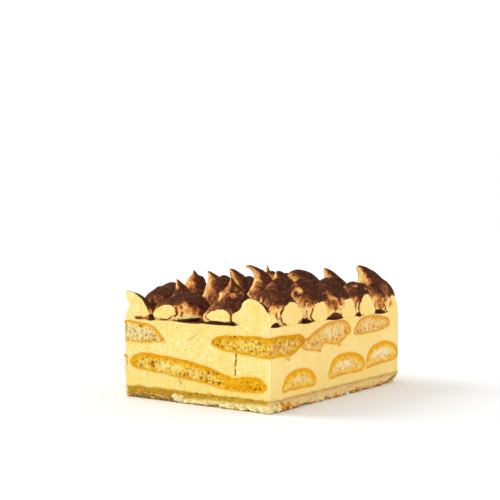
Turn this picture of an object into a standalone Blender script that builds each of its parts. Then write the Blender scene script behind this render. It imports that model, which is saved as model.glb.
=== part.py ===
"""Tiramisu portion: a cut block of sponge cake, mascarpone cream and two courses of sponge fingers,
with piped cream peaks on top.

Run it with blender --background --python part.py, or from Blender's text editor.

Frame: metres, +Z up, origin at the middle of the underside. The front cut face looks along -Y, the right
cut face along +X, and every sponge finger lies along X.
"""

import math
from typing import NamedTuple

import bpy
import numpy as np

# The block.
WIDTH = 0.095
DEPTH = 0.134
CREAM_TOP = 0.042
SPONGE_TOP = 0.0065
JOIN_GAP = 0.0003  # between pieces that touch

HALF_WIDTH = WIDTH / 2
HALF_DEPTH = DEPTH / 2

# The sponge base loses a little along its lower edges, and more at the right rear corner.
SPONGE_TOP_BEVEL = 0.0002
SPONGE_WORN_EDGE = 0.0011
SPONGE_WORN_CORNER = 0.0080
SPONGE_WORN_REACH = 0.024
SPONGE_WORN_SLOPE = 0.55  # rise of the worn edge for each metre that it is worn in
SPONGE_LIP = 0.0006
SPONGE_POINTS_A_SIDE = 9

# A sponge finger's section is a flat-bottomed D: a rounded crown over a shallow, square-cornered foot.
FINGER_SIDES = 16
FINGER_STATIONS = 5
FINGER_FOOT_SHARE = 0.28
FINGER_CROWN_POWER = 2.25
FINGER_FOOT_POWER = 4.0
FINGER_END_STATIONS = 4
SOCKET_OVERRUN = 0.006  # a socket's cutter runs this far out of a cut face

# A cream peak is a tapering plug of cream whose axis curls over towards its tip.
PEAK_SIDES = 16
PEAK_RINGS = (0.0, 0.05, 0.14, 0.27, 0.41, 0.55, 0.69, 0.82, 0.93)
PEAK_AXIS_STEPS = 60
PEAK_FOOT_TUCK = 0.22  # the foot is drawn in by this share, over this share of the length
PEAK_FOOT_HEIGHT = 0.05
PEAK_BELLY = 0.09  # and the belly above it is wider
PEAK_BELLY_HEIGHT = 0.25
PEAK_DOME_POWER = 1.7
PEAK_NIPPLE_POWER = 0.9
PEAK_SWELL_POWER = 4
PEAK_LOBES = ((2, 0.045, 0.6), (3, 0.028, 1.9))  # waves round the plug, share of the radius, turn
PEAK_PRESS_SOFTNESS = 0.0006  # how softly neighbours press each other flat
PEAK_LEAST_SHARE = 0.3  # a pressed side keeps at least this share of its room
PEAK_CUT_MARGIN = 0.0006  # a peak's axis stays this far inside the cut faces
LEAST_ROOM = 1e-5
LEAST_FACING = 1e-6


class Finger(NamedTuple):
    """A sponge finger, by the place of its section at the middle of its length."""

    name: str
    left: float
    right: float
    centre_y: float
    width: float
    bottom: float
    thickness: float
    lean: float = 0.0  # rise of the section per metre towards +Y
    slope: float = 0.0  # rise of the axis per metre towards +X
    round_left: float = 0.0
    round_right: float = 0.0


class Peak(NamedTuple):
    """A piped cream peak: where it stands, its size, and how its tip curls over."""

    x: float
    y: float
    radius: float
    height: float
    heading: float  # degrees from +X towards which the tip curls
    curl: float  # degrees by which the axis has turned over at the tip
    point: float  # 0 is a round dome, 1 a dome drawn out to a thin tip
    bend_power: float = 2.4  # a high power keeps the curl near the tip
    swell: float = 0.0  # extra radius to one side, as a share
    swell_heading: float = 0.0


FINGERS = (
    Finger("finger_lower_front", -0.0437, 0.0455, -0.0670, 0.0190, 0.0120, 0.0088,
           slope=-0.080, round_left=0.007, round_right=0.006),
    Finger("finger_lower_1", -HALF_WIDTH, HALF_WIDTH, -0.0407, 0.0305, 0.0094, 0.0100),
    Finger("finger_lower_2", -HALF_WIDTH, HALF_WIDTH, 0.0072, 0.0384, 0.0112, 0.0117),
    Finger("finger_lower_3", -HALF_WIDTH, HALF_WIDTH, 0.0486, 0.0398, 0.0131, 0.0122, lean=0.045),
    Finger("finger_upper_left", -HALF_WIDTH, -0.0195, -0.0615, 0.0330, 0.0300, 0.0108,
           round_right=0.012),
    Finger("finger_upper_front", 0.0112, HALF_WIDTH, -0.0590, 0.0420, 0.0268, 0.0102,
           slope=-0.020, round_left=0.007),
    Finger("finger_upper_2", -HALF_WIDTH, HALF_WIDTH, -0.0141, 0.0484, 0.0292, 0.0094, lean=0.105),
    Finger("finger_upper_3", -HALF_WIDTH, HALF_WIDTH, 0.0350, 0.0416, 0.0322, 0.0084, lean=0.030),
)

PEAKS = (
    # Along the right cut face, front to back.
    Peak(0.0360, -0.0665, 0.0118, 0.0130, 170, 20, 0.25),
    Peak(0.0378, -0.0474, 0.0134, 0.0239, 70, 40, 0.15),
    Peak(0.0370, -0.0215, 0.0126, 0.0224, 120, 16, 0.10),
    Peak(0.0356, 0.0062, 0.0136, 0.0216, 200, 12, 0.10, 2.4, 0.25, 15),
    Peak(0.0376, 0.0304, 0.0130, 0.0186, 210, 18, 0.15),
    Peak(0.0360, 0.0545, 0.0162, 0.0292, 215, 64, 0.62),
    # The next line in.
    Peak(0.0160, -0.0535, 0.0150, 0.0232, 190, 18, 0.85, 2.4, 0.20, 195),
    Peak(0.0152, -0.0262, 0.0132, 0.0312, 212, 76, 0.85, 3.4),
    Peak(0.0130, -0.0030, 0.0132, 0.0256, 210, 36, 0.45),
    Peak(0.0138, 0.0195, 0.0134, 0.0272, 222, 98, 0.25, 2.2),
    Peak(0.0160, 0.0466, 0.0132, 0.0270, 212, 52, 0.70),
    Peak(0.0120, 0.0640, 0.0120, 0.0160, 200, 12, 0.30),
    # The third line.
    Peak(-0.0170, -0.0545, 0.0148, 0.0220, 210, 30, 1.10, 1.6, 0.35, 224),
    Peak(-0.0120, -0.0304, 0.0130, 0.0266, 212, 48, 0.75),
    Peak(-0.0130, -0.0070, 0.0130, 0.0278, 212, 58, 0.65),
    Peak(-0.0118, 0.0175, 0.0130, 0.0274, 200, 8, 0.95),
    Peak(-0.0130, 0.0425, 0.0130, 0.0225, 205, 34, 0.40),
    Peak(-0.0130, 0.0632, 0.0125, 0.0215, 200, 20, 0.50),
    # Along the left cut face.
    Peak(-0.0412, -0.0664, 0.0110, 0.0162, 188, 70, 0.55, 1.6),
    Peak(-0.0372, -0.0440, 0.0148, 0.0170, 200, 8, -0.30),
    Peak(-0.0386, -0.0162, 0.0132, 0.0250, 205, 18, 0.80),
    Peak(-0.0380, 0.0100, 0.0132, 0.0212, 210, 30, 0.35),
    Peak(-0.0380, 0.0355, 0.0132, 0.0200, 195, 26, 0.45),
    Peak(-0.0378, 0.0600, 0.0132, 0.0215, 205, 40, 0.60),
)


def clear_scene():
    """Remove the startup objects."""
    for obj in list(bpy.data.objects):
        bpy.data.objects.remove(obj)


def make_material(name, colour, roughness):
    """A plain Principled finish in one colour."""
    material = bpy.data.materials.new(name)
    material.use_nodes = True
    shader = material.node_tree.nodes["Principled BSDF"]
    shader.inputs["Base Color"].default_value = (*colour, 1.0)
    shader.inputs["Roughness"].default_value = roughness
    shader.inputs["Metallic"].default_value = 0.0
    return material


def make_object(name, points, faces, material, smooth_angle=40.0):
    """An object with this mesh and finish, its flatter edges shaded smooth."""
    mesh = bpy.data.meshes.new(name)
    mesh.from_pydata([tuple(point) for point in points], [], faces)
    mesh.materials.append(material)
    mesh.validate()
    mesh.shade_smooth()
    mesh.set_sharp_from_angle(angle=math.radians(smooth_angle))
    obj = bpy.data.objects.new(name, mesh)
    bpy.context.scene.collection.objects.link(obj)
    return obj


def loft_faces(rings, sides):
    """Side faces between rings of points that turn anticlockwise as they climb, and the first ring's cap."""
    faces = [
        (ring * sides + side, ring * sides + (side + 1) % sides,
         (ring + 1) * sides + (side + 1) % sides, (ring + 1) * sides + side)
        for ring in range(rings - 1)
        for side in range(sides)
    ]
    faces.append(tuple(reversed(range(sides))))
    return faces


# Sponge base


def sponge_outline():
    """Points round the block's footprint, anticlockwise from the left front corner."""
    steps = np.linspace(0, 1, SPONGE_POINTS_A_SIDE)[:-1]
    across = -HALF_WIDTH + steps * WIDTH
    along = -HALF_DEPTH + steps * DEPTH
    still = np.ones_like(steps)
    return np.concatenate([
        np.stack([across, -HALF_DEPTH * still], axis=1),
        np.stack([HALF_WIDTH * still, along], axis=1),
        np.stack([-across, HALF_DEPTH * still], axis=1),
        np.stack([-HALF_WIDTH * still, -along], axis=1),
    ])


def sponge_wear(outline):
    """How far the lower edge is worn in, point by point: a ripple, and more near the right rear corner."""
    turn = np.linspace(0, 2 * math.pi, len(outline), endpoint=False)
    ripple = SPONGE_WORN_EDGE * (1 + 0.35 * np.sin(5 * turn) + 0.25 * np.sin(11 * turn + 1.0))
    corner = np.hypot(outline[:, 0] - HALF_WIDTH, outline[:, 1] - HALF_DEPTH)
    return ripple + SPONGE_WORN_CORNER * np.clip(1 - corner / SPONGE_WORN_REACH, 0, 1)


def make_sponge_base(material):
    """The cake slab: a plate whose lower edge is worn in, rising from the flat underside."""
    outline = sponge_outline()
    sides = len(outline)
    wear = sponge_wear(outline)
    top = outline * (1 - SPONGE_TOP_BEVEL / HALF_WIDTH)
    worn = outline * (1 - wear / np.abs(outline).max(axis=1))[:, None]
    levels = (
        (worn, np.zeros(sides)),
        (outline, SPONGE_LIP + SPONGE_WORN_SLOPE * wear),
        (outline, np.full(sides, SPONGE_TOP - SPONGE_TOP_BEVEL)),
        (top, np.full(sides, SPONGE_TOP)),
    )
    points = np.concatenate([np.column_stack([ring, heights]) for ring, heights in levels])
    faces = loft_faces(len(levels), sides) + [tuple(range(len(points) - sides, len(points)))]
    make_object("sponge_base", points, faces, material)


# Sponge fingers


def finger_section(width, thickness):
    """(y, z) round a D: a crown of power FINGER_CROWN_POWER over a foot of power FINGER_FOOT_POWER."""
    turn = np.linspace(0, 2 * math.pi, FINGER_SIDES, endpoint=False) + math.pi / FINGER_SIDES
    foot = thickness * FINGER_FOOT_SHARE
    up = np.sin(turn) > 0
    power = np.where(up, FINGER_CROWN_POWER, FINGER_FOOT_POWER)
    y = width / 2 * np.sign(np.cos(turn)) * np.abs(np.cos(turn)) ** (2 / power)
    z = np.where(up, thickness - foot, foot) * np.sign(np.sin(turn)) * np.abs(np.sin(turn)) ** (2 / power)
    return np.stack([y, z], axis=1)


def finger_stations(finger, overrun):
    """(x, share of the full section) along the finger, rounding off where an end is baked and not cut."""
    left = finger.left if finger.round_left else finger.left - overrun
    right = finger.right if finger.round_right else finger.right + overrun
    body = np.linspace(left + finger.round_left, right - finger.round_right, FINGER_STATIONS)
    stations = [(x, 1.0) for x in body]
    quarter = (np.arange(1, FINGER_END_STATIONS + 1) - 0.25) / FINGER_END_STATIONS * math.pi / 2
    for angle in quarter:
        if finger.round_left:
            stations.insert(0, (body[0] - finger.round_left * math.sin(angle), math.cos(angle)))
        if finger.round_right:
            stations.append((body[-1] + finger.round_right * math.sin(angle), math.cos(angle)))
    return stations


def finger_mesh(finger, grow=0.0, overrun=0.0):
    """Points and faces of a finger lofted along X, grown by a gap all round for its socket."""
    section = finger_section(finger.width + 2 * grow, finger.thickness + 2 * grow)
    middle_x = (finger.left + finger.right) / 2
    foot = finger.bottom + finger.thickness * FINGER_FOOT_SHARE
    rings = []
    for x, share in finger_stations(finger, overrun):
        y = section[:, 0] * share
        z = foot + section[:, 1] * share + finger.lean * y + finger.slope * (x - middle_x)
        rings.append(np.column_stack([np.full(len(y), x), finger.centre_y + y, z]))
    faces = loft_faces(len(rings), FINGER_SIDES)
    last = (len(rings) - 1) * FINGER_SIDES
    faces.append(tuple(range(last, last + FINGER_SIDES)))
    return np.concatenate(rings), faces


def make_finger(finger, material):
    """A sponge finger, cut flush where it meets the block's front or back face."""
    points, faces = finger_mesh(finger)
    points[:, 1] = np.clip(points[:, 1], -HALF_DEPTH, HALF_DEPTH)
    make_object(finger.name, points, faces, material)


# Cream filling


def make_cream_filling(material):
    """The block of cream, with a socket cut through it for every sponge finger."""
    low, high = SPONGE_TOP + JOIN_GAP, CREAM_TOP
    corners = [
        (x, y, z)
        for z in (low, high)
        for x, y in (
            (-HALF_WIDTH, -HALF_DEPTH), (HALF_WIDTH, -HALF_DEPTH),
            (HALF_WIDTH, HALF_DEPTH), (-HALF_WIDTH, HALF_DEPTH),
        )
    ]
    faces = loft_faces(2, 4) + [(4, 5, 6, 7)]
    cream = make_object("cream_filling", corners, faces, material)
    for finger in FINGERS:
        points, socket_faces = finger_mesh(finger, grow=JOIN_GAP, overrun=SOCKET_OVERRUN)
        cutter = make_object("socket_" + finger.name, points, socket_faces, material)
        cutter.hide_render = True
        cutter.display_type = "WIRE"
        cut = cream.modifiers.new(finger.name, "BOOLEAN")
        cut.operation = "DIFFERENCE"
        cut.solver = "EXACT"
        cut.object = cutter


# Cream peaks


def peak_axis(peak, shares):
    """Axis points and headings at these shares of the length: the axis turns by curl * share ** bend_power."""
    fine = np.linspace(0, 1, PEAK_AXIS_STEPS + 1)
    turn = math.radians(peak.curl) * fine ** peak.bend_power
    step = peak.height / PEAK_AXIS_STEPS
    side = np.concatenate([[0], np.cumsum(np.sin((turn[1:] + turn[:-1]) / 2)) * step])
    rise = np.concatenate([[0], np.cumsum(np.cos((turn[1:] + turn[:-1]) / 2)) * step])
    return np.interp(shares, fine, side), np.interp(shares, fine, rise), np.interp(shares, fine, turn)


def peak_bounds(index):
    """Upright planes (nx, ny, offset) that hold a peak: the four cut faces, and one before each neighbour."""
    peak = PEAKS[index]
    cuts = [(1, 0, HALF_WIDTH), (-1, 0, HALF_WIDTH), (0, 1, HALF_DEPTH), (0, -1, HALF_DEPTH)]
    presses = []
    for other in PEAKS[:index] + PEAKS[index + 1:]:
        apart_x, apart_y = other.x - peak.x, other.y - peak.y
        apart = math.hypot(apart_x, apart_y)
        share = (apart ** 2 + peak.radius ** 2 - other.radius ** 2) / (2 * apart)
        nx, ny = apart_x / apart, apart_y / apart
        presses.append((nx, ny, nx * peak.x + ny * peak.y + share - JOIN_GAP / 2))
    return cuts, presses


def peak_mesh(index):
    """Points and faces of a peak.

    Up the axis the radius blends a dome, sqrt(1 - share ** PEAK_DOME_POWER), with a drawn-out nipple,
    (half of 1 + cos(pi share)) ** PEAK_NIPPLE_POWER. It has a belly over a tucked foot, is waved and swollen
    round the axis, and is shortened, side by side, to stop at the cut faces and softly before its neighbours.
    """
    peak = PEAKS[index]
    shares = np.array(PEAK_RINGS)
    side, rise, turn = peak_axis(peak, shares)
    heading = math.radians(peak.heading)
    toward = np.array([math.cos(heading), math.sin(heading)])
    centre = np.array([peak.x, peak.y]) + side[:, None] * toward
    reach_x, reach_y = HALF_WIDTH - PEAK_CUT_MARGIN, HALF_DEPTH - PEAK_CUT_MARGIN
    centre = np.clip(centre, (-reach_x, -reach_y), (reach_x, reach_y))

    around = np.linspace(0, 2 * math.pi, PEAK_SIDES, endpoint=False)[None, :]
    dome = np.sqrt(1 - shares ** PEAK_DOME_POWER)
    nipple = (0.5 + 0.5 * np.cos(math.pi * shares)) ** PEAK_NIPPLE_POWER
    radius = peak.radius * (dome + (nipple - dome) * peak.point)
    radius *= 1 + PEAK_BELLY * np.exp(-shares / PEAK_BELLY_HEIGHT)
    radius *= 1 - PEAK_FOOT_TUCK * np.exp(-shares / PEAK_FOOT_HEIGHT)
    radius = radius[:, None] * np.ones_like(around)
    toward_swell = np.cos(around - math.radians(peak.swell_heading))
    radius *= 1 + peak.swell * np.maximum(toward_swell, 0) ** PEAK_SWELL_POWER * (1 - shares[:, None])
    for waves, depth, offset in PEAK_LOBES:
        radius *= 1 + depth * np.sin(waves * around + offset * (index + 1))

    # Across each ring, one direction leans with the axis and the other stays level.
    lean, level = np.cos(around - heading), np.sin(around - heading)
    tilt = turn[:, None]
    direction = np.stack([
        lean * np.cos(tilt) * toward[0] - level * toward[1],
        lean * np.cos(tilt) * toward[1] + level * toward[0],
        -lean * np.sin(tilt),
    ], axis=-1)

    cuts, presses = peak_bounds(index)
    for nx, ny, offset in presses + cuts:
        facing = direction[..., 0] * nx + direction[..., 1] * ny
        room = offset - (centre[:, 0] * nx + centre[:, 1] * ny)
        limit = np.maximum(room[:, None], LEAST_ROOM) / np.maximum(facing, LEAST_FACING)
        if (nx, ny, offset) in cuts:
            radius = np.minimum(radius, limit)
        else:
            least, most = np.minimum(radius, limit), np.maximum(radius, limit)
            softened = least - PEAK_PRESS_SOFTNESS * np.log1p(np.exp((least - most) / PEAK_PRESS_SOFTNESS))
            radius = np.maximum(softened, PEAK_LEAST_SHARE * least)

    base = CREAM_TOP + JOIN_GAP
    rings = np.concatenate([centre, (base + rise)[:, None]], axis=1)[:, None, :] + radius[..., None] * direction
    rings[..., 2] = np.maximum(rings[..., 2], base)
    tip_side, tip_rise, _ = peak_axis(peak, 1.0)
    tip = np.clip(np.array([peak.x, peak.y]) + tip_side * toward, (-reach_x, -reach_y), (reach_x, reach_y))
    points = np.concatenate([rings.reshape(-1, 3), [[*tip, base + tip_rise]]])
    faces = loft_faces(len(shares), PEAK_SIDES)
    last, top = (len(shares) - 1) * PEAK_SIDES, len(points) - 1
    faces += [(last + side, last + (side + 1) % PEAK_SIDES, top) for side in range(PEAK_SIDES)]
    return points, faces


def make_peaks(material):
    """Every peak, numbered in the order of the table."""
    for index in range(len(PEAKS)):
        points, faces = peak_mesh(index)
        make_object(f"cream_peak_{index + 1:02d}", points, faces, material, smooth_angle=60.0)


def main():
    clear_scene()
    sponge = make_material("sponge", (0.72, 0.50, 0.20), 0.85)
    cream = make_material("cream", (0.93, 0.76, 0.28), 0.45)
    biscuit = make_material("biscuit", (0.80, 0.45, 0.08), 0.80)
    dusted = make_material("cocoa_dusted_cream", (0.12, 0.05, 0.025), 0.90)
    make_sponge_base(sponge)
    make_cream_filling(cream)
    for finger in FINGERS:
        make_finger(finger, biscuit)
    make_peaks(dusted)


main()
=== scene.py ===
"""Looks of the tiramisu portion: knife-cut cream, baked fingers, crumbly sponge and cocoa-dusted peaks.

Every shape is a surface of two parameters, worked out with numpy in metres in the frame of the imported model.
"""

import math
from typing import NamedTuple

import bpy
import numpy as np
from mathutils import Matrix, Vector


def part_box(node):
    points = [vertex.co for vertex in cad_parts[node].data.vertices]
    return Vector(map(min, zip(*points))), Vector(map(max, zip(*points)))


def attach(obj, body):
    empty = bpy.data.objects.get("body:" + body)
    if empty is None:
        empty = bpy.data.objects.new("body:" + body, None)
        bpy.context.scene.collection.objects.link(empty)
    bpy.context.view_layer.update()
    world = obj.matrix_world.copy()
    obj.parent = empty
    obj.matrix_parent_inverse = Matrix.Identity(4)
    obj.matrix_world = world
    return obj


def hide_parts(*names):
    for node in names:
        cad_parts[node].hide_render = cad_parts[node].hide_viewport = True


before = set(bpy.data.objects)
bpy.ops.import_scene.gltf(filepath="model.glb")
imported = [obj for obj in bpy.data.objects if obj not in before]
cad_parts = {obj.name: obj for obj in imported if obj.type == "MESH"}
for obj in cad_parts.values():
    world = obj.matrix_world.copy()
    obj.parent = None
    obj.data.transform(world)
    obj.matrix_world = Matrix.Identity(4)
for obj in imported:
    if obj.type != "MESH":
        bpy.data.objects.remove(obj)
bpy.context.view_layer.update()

MM = 0.001
TOUCH = 0.001 * MM  # nearer than this counts as on a face

# The block, read from the frame.
HALF_WIDTH, HALF_DEPTH, CREAM_TOP = (float(value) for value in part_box("cream_filling")[1])
SPONGE_HIGH = float(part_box("sponge_base")[1][2])
FRONT = -HALF_DEPTH
HALVES = np.array([HALF_WIDTH, HALF_DEPTH])

CREAM_STEP = 0.62 * MM  # spacing of points over the cut faces
SPONGE_STEP = 0.45 * MM
SPONGE_RINGS = 22

# A cream peak is a plug of cream whose axis curls over towards its tip.
PEAK_SIDES = 144
PEAK_RINGS = 60
RING_CROWDING = 1.12  # above 1, the rings crowd towards the foot
AXIS_STEPS = 120
PEAK_SINK = 0.7 * MM  # a peak's foot is buried this deep in the filling
PEAK_FOOT_HEIGHT = 0.05
PEAK_BELLY = 0.09
PEAK_BELLY_HEIGHT = 0.25
PEAK_DOME_POWER = 1.7
PEAK_NIPPLE_POWER = 0.9
PEAK_SWELL_POWER = 4
SPIRE_WIDTH = 0.8
SPIRE_CAP_POWER = 2.2
PEAK_LOBES = ((2, 0.045, 0.6), (3, 0.028, 1.9))
PEAK_PRESS_SOFTNESS = 0.6 * MM
PEAK_LEAST_SHARE = 0.3
PEAK_CUT_MARGIN = 0.6 * MM
PEAK_CALM_RADIUS = 3 * MM  # a tip thinner than this has less of the waves
SLOW_WAVE, FINE_WAVE = 0.42 * MM, 0.16 * MM

# Fingers stand this far proud of the cream's cut faces, and the cream is hollow behind them.
FINGER_PROUD = 0.12 * MM
SOCKET_RIM = 0.7 * MM
SOCKET_DEPTH = 2.6 * MM
HALO_REACH = 1.4 * MM  # the cream is stained this far round a finger


class Peak(NamedTuple):
    """A piped cream peak: where it stands, its size, and how its tip curls over."""

    x: float
    y: float
    radius: float
    height: float
    heading: float  # degrees from +X towards which the tip curls
    curl: float  # degrees by which the axis has turned over at the tip
    point: float  # 0 is a round dome, 1 a dome drawn out to a thin tip
    bend_power: float = 2.4
    swell: float = 0.0
    swell_heading: float = 0.0
    tuck: float = 0.22  # how far the foot draws in
    spire: float = 0.0  # the share of the height that is a thin tip over a flat dome


PEAKS = (
    # Along the right cut face, front to back.
    Peak(0.0364, -0.0665, 0.0118, 0.0131, 20, 10, 0.10, tuck=-0.04),
    Peak(0.0372, -0.0474, 0.0140, 0.0240, 62, 34, 0.55, tuck=0.12),
    Peak(0.0370, -0.0215, 0.0126, 0.0224, 120, 16, 0.10, tuck=0.16),
    Peak(0.0356, 0.0062, 0.0136, 0.0216, 200, 12, 0.10, 2.4, 0.25, 15, tuck=0.10),
    Peak(0.0376, 0.0304, 0.0130, 0.0186, 210, 18, 0.15, tuck=0.12),
    Peak(0.0360, 0.0545, 0.0162, 0.0292, 215, 64, 0.62, tuck=-0.05),
    # The next line in.
    Peak(0.0160, -0.0535, 0.0150, 0.0232, 190, 18, 0.85, 2.4, 0.20, 195),
    Peak(0.0156, -0.0262, 0.0134, 0.0322, 212, 124, 0.85, 4.4),
    Peak(0.0130, -0.0030, 0.0132, 0.0256, 210, 36, 0.45),
    Peak(0.0138, 0.0195, 0.0134, 0.0272, 222, 98, 0.25, 2.2),
    Peak(0.0160, 0.0466, 0.0132, 0.0270, 212, 52, 0.70),
    Peak(0.0120, 0.0640, 0.0120, 0.0160, 200, 12, 0.30),
    # The third line.
    Peak(-0.0170, -0.0545, 0.0148, 0.0222, 210, 26, 1.0, 1.6, 0.20, 224, spire=0.38),
    Peak(-0.0120, -0.0304, 0.0130, 0.0266, 212, 48, 0.75),
    Peak(-0.0130, -0.0070, 0.0130, 0.0278, 212, 58, 0.65),
    Peak(-0.0118, 0.0175, 0.0130, 0.0276, 200, 8, 1.0, spire=0.17),
    Peak(-0.0130, 0.0425, 0.0130, 0.0225, 205, 34, 0.40),
    Peak(-0.0130, 0.0632, 0.0125, 0.0215, 200, 20, 0.50),
    # Along the left cut face.
    Peak(-0.0412, -0.0664, 0.0110, 0.0162, 188, 70, 0.55, 1.6, tuck=-0.05),
    Peak(-0.0372, -0.0440, 0.0148, 0.0170, 200, 8, -0.30),
    Peak(-0.0386, -0.0162, 0.0132, 0.0250, 205, 18, 0.80),
    Peak(-0.0380, 0.0100, 0.0132, 0.0212, 210, 30, 0.35),
    Peak(-0.0380, 0.0355, 0.0132, 0.0200, 195, 26, 0.45),
    Peak(-0.0378, 0.0600, 0.0132, 0.0215, 205, 40, 0.60),
)


# Low dollops squeezed out between the peaks.
DOLLOPS = (
    Peak(0.0382, -0.0052, 0.0082, 0.0130, 0, 8, 0.0),
    Peak(0.0372, 0.0030, 0.0088, 0.0142, 0, 8, 0.0),
    Peak(-0.0440, -0.0290, 0.0060, 0.0110, 0, 0, 0.0),
    Peak(-0.0430, 0.0220, 0.0060, 0.0100, 0, 0, 0.0),
)


class Window(NamedTuple):
    """Where the knife cut a peak: a rounded area of an upright face, in millimetres along it and up."""

    face: str
    middle: float
    half_width: float
    low: float
    high: float
    power: float = 2.4  # 2 is an ellipse, more is squarer


# By the peak's number. The windows of the others follow from their size.
WINDOWS = {
    1: (),
    2: (Window("right", -47.6, 9.0, 42.0, 54.0, 2.0),),
    3: (Window("right", -19.4, 7.8, 42.0, 51.4, 2.6),),
    4: (Window("right", 11.2, 9.0, 42.0, 51.4, 3.0),),
    5: (Window("right", 31.2, 9.2, 42.0, 52.8, 2.8),),
    6: (Window("right", 61.0, 8.0, 42.0, 50.5, 2.2),),
    7: (Window("front", 16.0, 7.4, 43.3, 50.8, 2.2),),
    13: (Window("front", -21.4, 7.1, 43.3, 51.2, 2.2),),
    19: (),
    25: (),
    26: (),
}


class Recess(NamedTuple):
    """A hollow under the peaks' feet, arched over, in millimetres along a face and up; filled with cocoa and
    painted dark as its shade too.
    """

    face: str
    middle: float
    half_width: float
    height: float


RECESSES = (
    Recess("right", -61.5, 5.2, 2.2),
    Recess("right", -33.6, 6.2, 2.2),
    Recess("right", -4.4, 7.6, 3.8),
    Recess("right", 20.8, 2.6, 2.0),
    Recess("right", 46.6, 6.6, 2.2),
    Recess("front", -3.0, 11.0, 2.0),
    Recess("front", 15.0, 11.0, 1.6),
    Recess("front", 24.6, 2.4, 2.2),
    Recess("front", -30.0, 3.0, 3.4),
    Recess("left", -29.0, 5.0, 2.4),
    Recess("left", -3.0, 5.4, 2.4),
    Recess("left", 23.0, 4.6, 2.2),
    Recess("left", 48.0, 5.0, 2.4),
    Recess("back", -26.0, 5.0, 2.4),
    Recess("back", 0.0, 5.2, 2.2),
    Recess("back", 25.0, 5.0, 2.4),
)
RECESS_DEPTH = 1.8
RECESS_REACH = 9
DRAWN_MOST = 7.0  # how far the skin of a peak is drawn back from a cut face at most
FAR_FROM_CUT = 12.0  # the mark "beyond" where a surface has nothing to do with a cut

FACE_FRAMES = {  # the way along each face, and its outward normal, anticlockwise from the front
    "front": np.array([(1.0, 0.0), (0.0, -1.0)]),
    "right": np.array([(0.0, 1.0), (1.0, 0.0)]),
    "back": np.array([(1.0, 0.0), (0.0, 1.0)]),
    "left": np.array([(0.0, 1.0), (-1.0, 0.0)]),
}


# Numbers that vary smoothly in space


def lattice_value(cell, seed):
    """A fixed value from 0 to 1 for each whole-numbered cell, by mixing the bits of its three indices."""
    x, y, z = (cell[..., axis] for axis in range(3))
    mixed = x * 73856093 ^ y * 19349663 ^ z * 83492791 ^ (seed * 2654435 + 977)
    mixed = (mixed ^ (mixed >> 13)) * 1274126177 & 0xFFFFFFFF
    mixed = (mixed ^ (mixed >> 16)) * 2246822519 & 0xFFFFFFFF
    return (mixed ^ (mixed >> 15)) / 0xFFFFFFFF


def ripple(points, size, seed):
    """Smooth value noise from -1 to 1: lattice values at cells of this size, blended by 3 f^2 - 2 f^3."""
    scaled = points / size
    low = np.floor(scaled)
    share = scaled - low
    share = share * share * (3 - 2 * share)
    low = low.astype(np.int64)
    total = np.zeros(points.shape[:-1])
    for corner in np.ndindex(2, 2, 2):
        offset = np.array(corner)
        weight = np.prod(np.where(offset == 1, share, 1 - share), axis=-1)
        total += weight * lattice_value(low + offset, seed)
    return total * 2 - 1


def rough(points, size, seed, layers):
    """Layers of ripple, each half the size and half the height of the one before."""
    return sum(ripple(points, size / 2 ** layer, seed + layer) / 2 ** layer for layer in range(layers))


def ease(value, low, high):
    """0 below low, 1 above high, and a smooth step between; low may be the greater."""
    share = np.clip((value - low) / (high - low), 0, 1)
    return share * share * (3 - 2 * share)


# Grids of points and the meshes made from them


def grid_normals(grid):
    """Outward unit normals of a grid whose sides (second index) go anticlockwise as its rings climb."""
    across = np.roll(grid, -1, axis=1) - np.roll(grid, 1, axis=1)
    up = np.gradient(grid, axis=0)
    normal = np.cross(across, up)
    return normal / np.maximum(np.linalg.norm(normal, axis=-1, keepdims=True), 1e-12)


def closed_faces(rings, sides):
    """Quads between the rings of a closed grid, and a fan round the extra point at each end."""
    ring, side = np.meshgrid(np.arange(rings - 1), np.arange(sides), indexing="ij")
    following = (side + 1) % sides
    quads = np.stack([
        ring * sides + side, ring * sides + following,
        (ring + 1) * sides + following, (ring + 1) * sides + side,
    ], axis=-1).reshape(-1, 4)
    turn = np.arange(sides)
    onward = (turn + 1) % sides
    first, last = rings * sides, rings * sides + 1
    top = (rings - 1) * sides
    bottom_fan = np.stack([onward, turn, np.full(sides, first)], axis=1)
    top_fan = np.stack([top + turn, top + onward, np.full(sides, last)], axis=1)
    return quads.tolist() + bottom_fan.tolist() + top_fan.tolist()


def add_object(name, data):
    """A new object in the scene."""
    obj = bpy.data.objects.new(name, data)
    bpy.context.scene.collection.objects.link(obj)
    return obj


def make_piece(name, points, faces, material, slot, nodes=(), sharp=None, **marks):
    """A mesh piece that rides on the frame; each mark is a value at its points."""
    mesh = bpy.data.meshes.new(name)
    mesh.from_pydata(points.tolist(), [], faces)
    mesh.materials.append(material)
    for mark, values in marks.items():
        layer = mesh.attributes.new(mark, "FLOAT", "POINT")
        layer.data.foreach_set("value", np.ascontiguousarray(values, dtype=np.float32))
    mesh.shade_smooth()
    if sharp is not None:
        mesh.set_sharp_from_angle(angle=math.radians(sharp))
    obj = add_object(name, mesh)
    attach(obj, "root")
    if nodes:
        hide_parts(*nodes)


def make_closed(name, grid, ends, material, nodes, slot, sharp, **marks):
    """A closed piece from a grid of rings and the two points that its ends run in to."""
    points = np.concatenate([grid.reshape(-1, 3), np.array(ends)])
    extended = {
        mark: np.concatenate([values.reshape(-1), [values[0].mean(), values[-1].mean()]])
        for mark, values in marks.items()}
    make_piece(name, points, closed_faces(*grid.shape[:2]), material, slot, nodes, sharp, **extended)


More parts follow.
